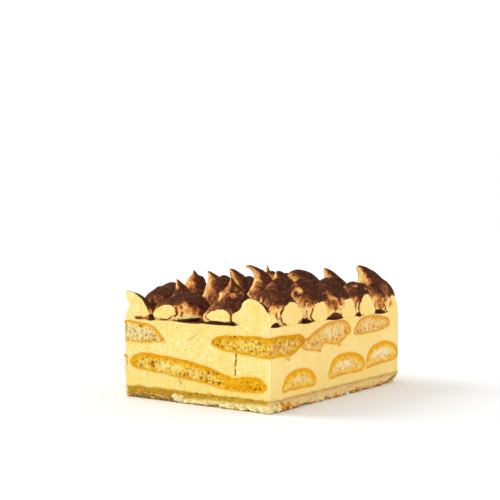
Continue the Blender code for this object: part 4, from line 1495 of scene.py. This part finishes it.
def make_biscuit_finish(bake):
    """Baked sponge, blotched, with pores painted dark as their shade and a painted highlight on the walls
    between; the mark "pore" darkens it with that painted shade and "pale" whitens it.
    """
    finish = Finish(bake.name, 0.8)
    depth, light, under = finish.mark("depth"), finish.mark("pale"), finish.mark("under")
    blotch = finish.noise(2.8, 3, shift=4)
    tooth = finish.noise(0.6, 4, shift=8, roughness=0.75)
    gate = finish.noise(2.4, 2, shift=15)
    torn = finish.noise(0.9, 3, shift=5, roughness=0.62)
    fine = finish.noise(0.6, 2, shift=27, roughness=0.6)
    mottle = finish.noise(1.4, 4, shift=52, roughness=0.65)
    bubbles = finish.cells(1.7, shift=2)
    if bake.grazed_from is not None:
        grazed = (finish.x + blotch.swing(9)).ease(bake.grazed_from - 5, bake.grazed_from + 3)
        depth = depth * (1 - grazed) + 1.2 * grazed
    level = depth / bake.full_depth + (blotch.swing(0.7) + tooth.swing(0.3)) * depth.ease(0.2, 1.2)
    crumb = level.ease(*bake.crumb)
    bared = depth.ease(0.35, 1.0)
    # painted shade in the pores: holes and pricks darken the crumb, and the bump sinks them
    hole = (bubbles + torn.swing(1.2)).ease(0.46, 0.14) * gate.ease(0.42, 0.52)
    prick = torn.ease(0.44, 0.34) * (0.45 + gate.ease(0.60, 0.45) * 0.55)
    dark = (hole.most(prick) * bared * (0.55 + 0.45 * crumb) * bake.pores * (1 - light * 0.5)).most(
        finish.mark("pore"))
    shade = (fine.ease(0.58, 0.34) * (0.06 + 0.30 * bared) * (0.5 + 0.5 * bake.pores)
             + blotch.ease(0.52, 0.36) * 0.22)
    ragged = depth + tooth.swing(2.4) + blotch.swing(2.4)
    # painted highlight on the pore walls, which also raise the bump
    wall_highlight = bubbles.ease(0.42, 0.75) * crumb * 0.40
    on_side = finish.x.ease(HALF_WIDTH / MM - 2.4, HALF_WIDTH / MM - 1.4) * crumb
    bar = abs(finish.x - STREAK_X + tooth.swing(0.6)).ease(0.65, 0.35) * finish.z.ease(35.4, 35.9)
    soaked = (
        (on_side * gate.ease(0.35, 0.6) * 0.85, (222, 142, 60)),
        (on_side * gate.ease(0.50, 0.38) * 0.8, (254, 206, 112)),
        (bar * finish.at_front() * 0.85, (84, 48, 26)))
    colour = finish.paint(
        finish.ramp(level, bake.stops),
        (light * (0.25 + tooth * 0.9) * crumb, bake.pale),
        (under * crumb * blotch.ease(0.60, 0.40) * 0.55, bake.under),
        (mottle.ease(0.52, 0.36) * crumb * bake.mottled, bake.pore),
        (mottle.ease(0.54, 0.68) * crumb * bake.mottled, bake.pale),
        (shade, bake.pore),
        (dark.ease(0.05, 0.95) * 0.85, bake.pore),
        *(soaked if bake.soaked_face else ()),
        (ragged.ease(1.1, 0.3) * under * 0.8, bake.under),
        (wall_highlight * (1 - dark), bake.pale))
    return finish.finish(colour, tooth * 0.5 + fine * 0.5 + wall_highlight - dark * 1.5, 0.25)


# The filling


def socket_loops():
    """The fingers' outlines: (y, z) loops with the side that they show on, 0 for both, then (x, z) loops."""
    side = [(smooth_loop(np.array(finger.outline) * MM, 90), 0) for finger in FINGERS]
    front = []
    for finger in FRONT_FINGERS:
        places = np.linspace(finger.top[0][0] * MM, finger.top[-1][0] * MM, 60)
        top, bottom = (smooth_line(line, places / MM) * MM for line in (finger.top, finger.bottom))
        beyond_left = places < -HALF_WIDTH + TOUCH
        beyond_right = places > HALF_WIDTH - TOUCH
        places = places - 5 * MM * beyond_left + 5 * MM * beyond_right
        front.append(np.concatenate([
            np.stack([places, bottom], axis=1), np.stack([places, top], axis=1)[::-1]]))
        back = np.array(finger.back, dtype=float)
        for is_end, row in ((beyond_left[0], 0), (beyond_right[-1], -1)):
            if is_end:
                heights = bottom[row] + (top[row] - bottom[row]) * back[:, 1]
                loop = np.stack([FRONT + back[:, 0] * MM, heights], axis=1)
                loop[[0, -1], 0] -= 5 * MM
                side.append((loop, math.copysign(1, places[row])))
    return side, front


def within_fingers(points):
    """How far points on the cut faces lie inside a finger's outline, negative outside it and -1 elsewhere."""
    side, front = socket_loops()
    on_side = np.abs(np.abs(points[..., 0]) - HALF_WIDTH) < TOUCH
    on_front = np.abs(points[..., 1] - FRONT) < TOUCH
    inner = np.full(points.shape[:-1], -1.0)
    for loop, only in side:
        where = on_side & ((only == 0) | (np.sign(points[..., 0]) == only))
        inner[where] = np.maximum(inner[where], distance_to_loop(points[where][:, 1:], loop))
    for loop in front:
        inner[on_front] = np.maximum(inner[on_front], distance_to_loop(points[on_front][:, ::2], loop))
    return inner


TOP_SHARES = (0.02, 0.3, 0.55, 0.72, 0.83, 0.9, 0.94, 0.965, 0.98, 0.99)  # of the footprint, for its rings
UNDER_SHARES = (0.98, 0.9, 0.5, 0.02)
DIP_MEAN, DIP_SWING, DIP_MOST = 0.28, 0.22, 0.6  # millimetres by which the top edge dips between the peaks
DIP_BAND = 1.2 * MM
HOLLOW_FADE = 0.55 * MM  # how far below the edge the cocoa and the painted shade of a hollow have spread


def make_filling(material, sky):
    """The block of cream: rings of the footprint from the middle of its top, down its sides, and under it."""
    outline, _ = perimeter(CREAM_STEP)
    low, high = SPONGE_HIGH - 0.2 * MM, CREAM_TOP
    heights = np.linspace(high, low, int((high - low) / CREAM_STEP) + 1)
    rings = [(share, high, 1) for share in TOP_SHARES]
    rings += [(1.0, height, 0) for height in heights]
    rings += [(share, low, -1) for share in UNDER_SHARES]
    grid = np.array([
        np.column_stack([outline * share, np.full(len(outline), height)]) for share, height, _ in rings
    ])[::-1]
    side_rows = np.array([kind == 0 for _, _, kind in rings])[::-1]
    push = cut_relief(grid)
    inner = within_fingers(grid)
    sink = SOCKET_DEPTH * ease(inner, SOCKET_RIM, 2.2 * SOCKET_RIM)
    halo = ease(inner, -HALO_REACH, 0)
    facing = np.sign(grid[..., :2]) * (np.abs(np.abs(grid[..., :2]) - HALVES) < TOUCH)
    push[..., :2] -= facing * sink[..., None]
    top_rows = grid[..., 2] >= high - TOUCH
    dust = np.where(top_rows & ~side_rows[:, None], 1.0, 0.0)
    seen = sky.open_share(grid + np.array([0, 0, 0.5 * MM]))
    dust *= SHADED_TOP + (1 - SHADED_TOP) * seen
    grid = grid + push * side_rows[:, None, None]
    dip = (DIP_MEAN + DIP_SWING * rough(grid * (1, 1, 0), 5 * MM, 97, 3)).clip(0, DIP_MOST) * MM
    grid[..., 2] -= dip * side_rows[:, None] * ease(grid[..., 2], high - DIP_BAND, high)
    ends = ((0, 0, low), (0, 0, high))
    hollow = in_recess(grid)[0] - np.maximum(high - grid[..., 2], 0) / HOLLOW_FADE
    make_closed("cream_block", grid, ends, material, ["cream_filling"], "cream", 50, dust=dust, halo=halo,
                hollow=np.maximum(hollow, -1), beyond=np.full(dust.shape, FAR_FROM_CUT))


# The sponge


SPONGE_TOOTH, SPONGE_TEAR, SPONGE_PORE, SPONGE_INSET = 0.22 * MM, 1.1 * MM, 0.40 * MM, 0.04 * MM
EDGE_WEAR = 1.0 * MM  # how far the lower edge is rounded, and more at the back right corner
CORNER_WEAR = 7.0 * MM
CORNER_REACH = 24 * MM


def sponge_relief(points):
    """How far the sides are sunk: a fine tooth, and tears and pores that deepen towards the underside."""
    height = points[..., 2] / SPONGE_HIGH
    tear = ease(rough(points, 5.0 * MM, 21, 3), 0.05, 0.7)
    pore = ease(ripple(points, 1.2 * MM, 27), 0.25, 0.75)
    tooth = rough(points, 1.0 * MM, 33, 3)
    low = ease(height, 0.85, 0.25)
    deep = low * (SPONGE_TEAR * tear * ease(height, 0.55, 0.05) + SPONGE_PORE * pore)
    depth = SPONGE_TOOTH * tooth * (0.1 + low) + deep
    return depth + SPONGE_INSET, np.maximum(pore * low * 0.8, tear * ease(height, 0.4, 0.0) * 0.6)


def make_sponge(material):
    """The sponge base: rings of the footprint up its crumbly sides, over an underside torn at the edge."""
    outline, normals = perimeter(SPONGE_STEP)
    heights = (np.linspace(0, 1, SPONGE_RINGS) ** 0.9) * SPONGE_HIGH
    flat_outline = np.column_stack([outline, np.zeros(len(outline))])
    wear = EDGE_WEAR * (1 + 0.7 * ripple(flat_outline, 13 * MM, 3))
    corner = np.hypot(outline[:, 0] - HALF_WIDTH, outline[:, 1] - HALF_DEPTH)
    wear = wear + CORNER_WEAR * np.clip(1 - corner / CORNER_REACH, 0, 1)
    torn = np.maximum(rough(flat_outline, 7 * MM, 57, 3) + 0.15, 0) * 1.5 * MM
    share = np.clip(1 - heights[:, None] / (0.6 * MM + 0.6 * wear), 0, 1) ** 1.6
    lift = torn * (1 - heights[:, None] / SPONGE_HIGH) ** 2
    sides = np.zeros((SPONGE_RINGS, len(outline), 3))
    sides[..., :2] = outline - normals * (wear * share)[..., None]
    sides[..., 2] = heights[:, None] + lift
    sink, pore = sponge_relief(sides)
    flush = np.concatenate([outline, np.full((len(outline), 1), SPONGE_HIGH)], axis=1)
    sides[..., :2] += cut_relief(flush)[..., :2] - normals * sink[..., None]
    under = [sides[0] * (share, share, 0) for share in (0.02, 0.5, 0.9, 0.955)]
    over = [sides[-1] * (share, share, 1) for share in (0.97, 0.9, 0.5, 0.02)]
    grid = np.concatenate([np.array(under), sides, np.array(over)])
    still = np.zeros((4, len(outline)))
    pore = np.concatenate([still, pore, still])
    ends = ((0, 0, 0), (0, 0, SPONGE_HIGH))
    make_closed("sponge_slab", grid, ends, material, ["sponge_base"], "sponge", 65, pore=pore)


def make_sponge_finish():
    """Sponge soaked tan under the cream and pale below, with holes along the seam and a baked lower edge. Its
    pits, pores and holes are painted dark as their shade, and the soaked left front is darker at its foot,
    partly as a painted contact shadow.
    """
    finish = Finish("sponge", 0.85)
    from_side, from_front = finish.from_faces()
    blotch = finish.noise(2.4, 3, shift=12)
    tooth = finish.noise(0.6, 4, shift=2, roughness=0.75)
    fine = finish.noise(0.9, 3, shift=33, roughness=0.62)
    edge = finish.noise(4.0, 2, shift=21)
    wave = finish.noise(10, 2, stretch=(1, 1, 3), shift=6)
    on_side = from_side.ease(2.2, 1.4)
    on_front = from_front.ease(2.2, 1.4) * (1 - on_side)
    below = (SPONGE_HIGH / MM - finish.z + wave.swing(2.4) + blotch.swing(1.4)
             + finish.x * (1 - on_side) * 0.022)
    through = (finish.x + blotch.swing(14)).ease(-8, -17) * on_front
    soaked = below.ease(4.2, 2.4).most(through * (0.9 - blotch * 0.7))
    level = seam_level(finish) + blotch.swing(0.8)
    seam = abs(level + tooth.swing(0.6) + 0.3).ease(0.7, 0.1)
    # partly soaking, partly painted contact shadow: darker along the foot of the soaked left front
    foot = through * (finish.z + blotch.swing(3.0)).ease(3.0, 0.8)
    baked = (finish.z + blotch.swing(2.6)).ease(1.5, 0.4) * edge.ease(0.47, 0.58)
    torn = (finish.z + blotch.swing(3.0)).ease(2.4, 1.0) * edge.ease(0.50, 0.42)
    pit = fine.ease(0.43, 0.33) * (0.35 + 0.65 * blotch.ease(0.44, 0.58))
    seam_pit = finish.noise(1.5, 2, shift=37).ease(0.36, 0.28) * below.ease(2.2, 1.0) * below.ease(-0.2, 0.4)
    # painted shade in the sponge's pits, pores, seam pits and holes
    dark = (pit * 0.5).most(
        finish.mark("pore") * 0.5, seam_pit * 0.8, finish.front_spots(SPONGE_HOLES) * 0.95)
    pale = finish.mix(blotch.ease(0.35, 0.65), (255, 246, 176), (248, 226, 136))
    wet = finish.mix(blotch.ease(0.3, 0.7), (212, 170, 56), (192, 146, 32))
    colour = finish.paint(
        finish.mix(on_side * 0.85, pale, (251, 218, 148)),
        (soaked, finish.mix(on_side * 0.9, wet, (252, 216, 148))),
        ((tooth - 0.3) * 0.45, (190, 136, 44)),
        (through * blotch.ease(0.55, 0.40) * 0.5, (150, 108, 26)),
        (below.ease(2.4, 0.3) * on_side * 0.5, (204, 148, 72)),
        (seam * 0.4, (204, 150, 62)),
        (level.ease(-0.15, 0.3) * 0.95, (250, 212, 120)),
        (foot * 0.7, (120, 80, 22)),
        (baked * 0.85, (206, 124, 34)),
        (torn * (1 - through * 0.9) * 0.7, (252, 238, 186)),
        (dark, (142, 96, 28)))
    return finish.finish(colour, tooth - dark * 1.5, 0.4)


# Crumbs and grains


CRUMB_KINDS = (  # name, slot, seed, and plain and dark tone
    ("white", "sponge", 7, (255, 248, 196), (244, 218, 132)),
    ("baked", "sponge", 8, (238, 168, 66), (206, 124, 38)),
    ("golden", "biscuit", 9, (246, 196, 70), (222, 158, 34)),
)

# Crumbs on a face: between which places along it and which heights, how many, and their least and greatest
# size, in millimetres.
SCATTERS = {
    "white": (
        ("front", -12, -6, 0.8, 3.4, 16, 1.6, 3.2),
        ("front", -7, 3, 0.6, 1.8, 14, 1.0, 2.2),
        ("front", 16, 25, 0.5, 1.4, 12, 1.0, 2.2),
        ("front", 34, 47, 0.5, 3.0, 22, 1.2, 2.8),
        ("right", -67, -58, 0.6, 3.4, 18, 1.2, 2.8),
        ("front", -47, 47, 0.4, 1.6, 34, 0.4, 0.8),
        ("right", -67, 60, 0.4, 1.6, 34, 0.4, 0.8),
        ("back", -47, 40, 0.4, 2.0, 50, 0.4, 1.3),
        ("left", -67, 67, 0.4, 2.0, 60, 0.4, 1.3),
    ),
    "baked": (
        ("right", -61, -50, 0.6, 3.0, 20, 1.2, 2.8),
        ("right", -46, -42, 0.5, 1.4, 5, 0.5, 1.0),
        ("right", -31, -25, 0.5, 1.2, 7, 0.5, 1.0),
        ("right", -9, -1, 0.5, 1.6, 10, 0.9, 2.0),
        ("right", 14, 20, 0.5, 1.2, 6, 0.5, 1.0),
        ("right", 30, 46, 0.5, 1.4, 12, 0.5, 1.1),
        ("front", -37.5, -34, 3.6, 5.0, 4, 0.8, 1.3),
        ("front", -47, -43, 0.5, 1.6, 5, 0.6, 1.2),
        ("front", -30, -14, 0.5, 1.2, 12, 0.5, 1.0),
        ("front", 0, 36, 0.4, 0.9, 16, 0.4, 0.8),
        ("back", -47, 40, 0.5, 1.8, 34, 0.5, 1.3),
        ("left", -67, 67, 0.5, 1.8, 44, 0.5, 1.3),
    ),
    "golden": (
        ("front", -47.4, -46.2, 14, 23, 8, 0.6, 1.2),
        ("left", -66.5, -62, 14, 23, 9, 0.6, 1.4),
        ("right", -10, 3, 26.8, 29.6, 16, 0.5, 1.1),
        ("right", -23, -20, 26.0, 27.4, 4, 0.5, 0.9),
        ("right", -55, -51, 24.4, 27.0, 6, 0.6, 1.1),
        ("front", -24, -19.5, 30.0, 32.0, 4, 0.4, 0.7),
        ("left", -20, 20, 26.8, 29.6, 12, 0.5, 1.0),
        ("back", -30, 30, 20.0, 34.0, 8, 0.4, 0.8),
    ),
}

# Lumps of torn sponge or crust: along the face, up, width, height and how far proud, in millimetres.
CHUNKS = {
    "white": {
        "front": (
            (-9.6, 2.6, 6.6, 4.0, 1.2), (-13.0, 3.6, 3.0, 2.6, 0.8), (-5.2, 1.5, 4.2, 2.6, 1.0),
            (0.6, 1.6, 4.0, 2.0, 0.8), (4.4, 1.5, 3.0, 1.6, 0.7), (18.0, 1.8, 4.2, 2.8, 1.2),
            (21.6, 1.6, 3.0, 2.4, 1.1), (30.0, 0.9, 4.4, 1.6, 0.5), (36.6, 1.6, 5.0, 2.8, 0.8),
            (41.6, 1.9, 5.2, 3.4, 0.9), (45.6, 2.0, 3.6, 3.6, 0.8),
        ),
        "right": (
            (-65.4, 2.0, 4.2, 3.4, 0.8), (-59.6, 1.9, 4.6, 3.6, 1.3), (-49.0, 1.0, 3.0, 1.6, 0.5),
            (-18.0, 0.8, 3.2, 1.4, 0.5), (8.0, 0.8, 3.2, 1.4, 0.5),
        ),
        "left": (
            (-58.0, 1.2, 4.6, 2.4, 0.5), (-22.0, 1.2, 5.4, 2.2, 0.5), (24.0, 1.2, 5.0, 2.2, 0.5),
        ),
        "back": (
            (-34.0, 1.0, 5.0, 2.0, 0.5), (6.0, 1.2, 5.4, 2.2, 0.5),
        ),
    },
    "golden": {
        "front": (
            (-29.0, 1.0, 2.4, 1.3, 0.3), (-35.6, 4.4, 2.8, 1.7, 0.5), (-37.4, 3.6, 1.8, 1.3, 0.5),
        ),
        "right": (
            (-7.2, 28.6, 3.4, 2.2, 0.15), (-2.6, 28.4, 3.2, 2.4, 0.15), (-4.8, 27.2, 2.0, 1.6, 0.1),
            (1.4, 29.8, 2.0, 1.6, 0.1), (-21.6, 26.4, 2.8, 2.0, 0.15), (-52.2, 26.2, 3.6, 3.0, 0.2),
            (-50.4, 24.8, 1.8, 1.6, 0.1),
        ),
        "left": (
            (-65.6, 21.8, 3.0, 3.4, 1.3), (-65.8, 18.6, 2.4, 2.2, 0.8), (-65.6, 15.2, 2.6, 3.2, 1.5),
            (-65.8, 12.6, 2.0, 1.8, 0.9), (-65.0, 30.2, 4.0, 1.5, 1.3), (-65.0, 40.6, 4.0, 1.6, 0.9),
        ),
    },
    "baked": {
        "front": (
            (-45.4, 0.9, 3.2, 1.6, 0.5), (-16.6, 0.7, 2.6, 1.2, 0.5), (8.0, 0.6, 3.0, 1.1, 0.5),
            (26.4, 0.6, 2.4, 1.1, 0.5),
        ),
        "right": (
            (-61.2, 4.0, 2.6, 1.6, 0.9), (-55.6, 2.0, 5.2, 3.8, 1.3), (-51.0, 3.0, 4.2, 2.4, 1.0),
            (-57.6, 3.8, 2.6, 2.0, 1.0), (-46.8, 1.2, 4.4, 1.6, 0.8), (-42.4, 1.4, 4.2, 1.8, 0.9),
            (-29.0, 1.0, 2.6, 1.2, 0.8), (-25.0, 0.9, 1.8, 1.1, 0.8), (-10.6, 1.0, 2.8, 1.4, 0.8),
            (-5.4, 1.6, 3.6, 2.6, 1.1), (-1.0, 1.0, 2.4, 1.3, 0.8), (3.6, 0.9, 2.2, 1.1, 0.7),
            (14.0, 1.0, 2.4, 1.3, 0.8), (19.6, 1.6, 4.4, 2.0, 1.1), (31.0, 1.2, 5.4, 1.6, 1.0),
            (37.0, 1.1, 4.2, 1.4, 0.9), (45.6, 1.2, 4.4, 1.8, 1.0),
        ),
        "left": (
            (50.0, 1.0, 4.4, 1.8, 0.5),
        ),
    },
}
CHUNK_SUNK = 0.9 * MM
SPONGE_WEAR_HEIGHT = 3  # millimetres; the sponge is worn back below this
CHUNK_RINGS = 14
CHUNK_SIDES = 24
CRUMB_RINGS = 5
CRUMB_SIDES = 8
LOWEST = 0.02 * MM  # crumbs keep this far above the floor


def crumb_places(kind, seed):
    """Random places and sizes of crumbs, each sunk a little into its face."""
    random = np.random.default_rng(seed)
    places, sizes = [], []
    for face, start, end, low, high, count, smallest, largest in SCATTERS[kind]:
        along, outward = FACE_FRAMES[face]
        size = random.uniform(smallest, largest, count) * random.uniform(0.7, 1.0, count)
        where = random.uniform(start, end, count) * MM
        height = random.uniform(low, high, count) * MM
        base_wear = 0.9 * MM * ease(height, SPONGE_WEAR_HEIGHT * MM, 0)
        plan = outward * HALVES - outward * (0.25 * size * MM + base_wear)[:, None]
        plan = plan + along * where[:, None]
        places.append(np.column_stack([plan, np.maximum(height, 0.55 * size * MM)]))
        sizes.append(size * MM)
    return np.concatenate(places), np.concatenate(sizes)


def make_crumbs(kind, material, slot, seed):
    """One piece of many lumps: coarse balls, squashed and pushed about by noise, above the floor."""
    places, sizes = crumb_places(kind, seed)
    random = np.random.default_rng(seed + 1)
    corners = ball(CRUMB_RINGS, CRUMB_SIDES, 0.82)
    lump = corners[None] * random.uniform(0.55, 1.1, (len(places), 1, 3))
    lump = lump * (1 + 0.30 * random.standard_normal((len(places), len(corners), 1)).clip(-1.2, 1.2))
    points = places[:, None, :] + lump * (sizes / 2)[:, None, None] * 1.3
    points[..., 2] = np.maximum(points[..., 2], LOWEST)
    faces = repeated(closed_faces(CRUMB_RINGS, CRUMB_SIDES), len(corners), len(places))
    make_piece(f"{kind}_crumbs", points.reshape(-1, 3), faces, material, slot)


def make_chunks(kind, material, slot):
    """One piece of every chunk of a kind: half-sunk balls, pushed in and out by up to a third by noise."""
    corners = ball(CHUNK_RINGS, CHUNK_SIDES, 0.9)
    lumps = []
    for face, chunks in CHUNKS[kind].items():
        along, outward = FACE_FRAMES[face]
        for place, up, width, height, proud in chunks:
            plan = outward * HALVES + along * place * MM - outward * CHUNK_SUNK
            if up < SPONGE_WEAR_HEIGHT:
                plan = plan - outward * 0.5 * MM
            sideways = np.outer(corners[:, 0], along) * width / 2 * MM
            outwards = np.outer(corners[:, 1], outward) * (CHUNK_SUNK + proud * MM)
            lump = np.column_stack([sideways + outwards, corners[:, 2] * height / 2 * MM])
            middle = np.array([*plan, up * MM])
            size = 1 + 0.30 * rough(lump + middle, 1.4 * MM, 131, 3)
            lumps.append(middle + lump * size[:, None])
    points = np.concatenate(lumps)
    points[:, 2] = np.maximum(points[:, 2], LOWEST)
    faces = repeated(closed_faces(CHUNK_RINGS, CHUNK_SIDES), len(corners), len(lumps))
    make_piece(f"{kind}_chunks", points, faces, material, slot)


def make_crumb_finish(name, plain, dark):
    """A torn crumb: two tones by noise, with a grain."""
    finish = Finish(name, 0.85)
    blotch = finish.noise(1.3, 3, shift=14)
    tooth = finish.noise(0.4, 3, shift=19, roughness=0.7)
    return finish.finish(finish.mix(blotch.ease(0.38, 0.66), plain, dark), tooth, 0.3)


GRAIN_CORNERS = ((1, 0, 0), (0, 1, 0), (-1, 0, 0), (0, -1, 0), (0, 0, -1), (0, 0, 1))
GRAIN_COUNT = 620


def make_grains(material):
    """Eight-faced grains of cocoa on the upright faces, 0.12 to 0.3 mm, thickest just under the peaks."""
    random = np.random.default_rng(77)
    face = random.integers(0, 4, GRAIN_COUNT)
    ways, outwards = (np.array(list(FACE_FRAMES.values()))[face, part] for part in (0, 1))
    span = np.where(face % 2 == 0, HALF_WIDTH, HALF_DEPTH)
    along = random.uniform(-1, 1, GRAIN_COUNT) * span
    drop = random.exponential(7.0 * MM, GRAIN_COUNT)
    room = CREAM_TOP - 0.3 * MM - SPONGE_HIGH
    height = SPONGE_HIGH + (room - drop) % room
    plan = outwards * HALVES + ways * along[:, None] + outwards * 0.02 * MM
    size = random.uniform(0.06, 0.15, GRAIN_COUNT) * MM
    places = np.column_stack([plan, height])
    points = (places + cut_relief(places))[:, None, :] + np.array(GRAIN_CORNERS) * size[:, None, None]
    around, foot, head = np.arange(4), 4, 5
    faces = [(side, (side + 1) % 4, head) for side in around]
    faces += [((side + 1) % 4, side, foot) for side in around]
    every = repeated(faces, len(GRAIN_CORNERS), GRAIN_COUNT)
    make_piece("cocoa_grains", points.reshape(-1, 3), every, material, "cocoa_dusted_cream")


# Stage, light and camera


FLOOR_REACH = 6.0
SUN_FROM = (-0.74, -0.25, 0.63)
SUN_STRENGTH = 1.35
SUN_SPREAD = 34  # degrees


def make_stage():
    """A broad white floor."""
    mesh = bpy.data.meshes.new("floor")
    corners = ((-1, -1), (1, -1), (1, 1), (-1, 1))
    mesh.from_pydata([(x * FLOOR_REACH, y * FLOOR_REACH, 0) for x, y in corners], [], [(0, 1, 2, 3)])
    floor = add_object("floor", mesh)
    paper = bpy.data.materials.new("paper")
    paper.use_nodes = True
    shader = paper.node_tree.nodes["Principled BSDF"]
    shader.inputs["Base Color"].default_value = (0.84, 0.84, 0.84, 1)
    shader.inputs["Roughness"].default_value = 0.9
    shader.inputs["Specular IOR Level"].default_value = 0.0
    mesh.materials.append(paper)


def make_lights():
    """An even white surround, and a broad soft sun from the left."""
    world = bpy.data.worlds.new("surround")
    bpy.context.scene.world = world
    world.use_nodes = True
    background = world.node_tree.nodes["Background"]
    background.inputs["Color"].default_value = (1.0, 1.0, 1.0, 1)
    background.inputs["Strength"].default_value = 1.01
    light = bpy.data.lights.new("sun", "SUN")
    light.energy = SUN_STRENGTH
    light.angle = math.radians(SUN_SPREAD)
    light.color = (0.955, 0.985, 0.96)
    sun = add_object("sun", light)
    x, y, z = SUN_FROM
    sun.location = SUN_FROM
    sun.rotation_euler = (math.atan2(math.hypot(x, y), z), 0, math.atan2(x, -y))


CAMERA_PLACE = (0.3069, -0.4438, 0.0844)
CAMERA_AZIMUTH = 35.78
CAMERA_DROP = 0.63
CAMERA_LENS = 68.6


def make_camera():
    """A long lens a little above the portion, looking at its front right corner."""
    camera = bpy.data.cameras.new("camera")
    camera.sensor_width = 36
    camera.lens = CAMERA_LENS
    camera.clip_start = 0.01
    camera.clip_end = 50
    obj = add_object("camera", camera)
    obj.location = CAMERA_PLACE
    obj.rotation_euler = (math.radians(90 - CAMERA_DROP), 0, math.radians(CAMERA_AZIMUTH))
    bpy.context.scene.camera = obj


def build():
    """Everything in the scene: the camera, the lights, the stage, and the portion from the top down."""
    make_camera()
    make_lights()
    make_stage()
    cream = make_cream_finish()
    sky = make_peaks(cream)
    make_filling(cream, sky)
    across, soaked, pale, corner, grazed = (make_biscuit_finish(bake) for bake in BAKES)
    for index, (finger, finish) in enumerate(zip(FINGERS, (across, across, across, soaked, soaked))):
        make_through_finger(finger, finish, 200 + 20 * index)
    for index, (finger, finish) in enumerate(zip(FRONT_FINGERS, (grazed, corner, pale))):
        make_front_finger(finger, finish, 400 + 20 * index)
    make_sponge(make_sponge_finish())
    finishes = {kind: make_crumb_finish(f"crumb_{kind}", *tones) for kind, _, _, *tones in CRUMB_KINDS}
    cocoa = make_crumb_finish("cocoa_loose", (96, 54, 34), (70, 40, 26))
    for kind, slot, seed, *_ in CRUMB_KINDS:
        make_crumbs(kind, finishes[kind], slot, seed)
    for kind, slot, *_ in CRUMB_KINDS:
        make_chunks(kind, finishes[kind], slot)
    make_grains(cocoa)
    bpy.context.scene.view_settings.view_transform = "Standard"


build()
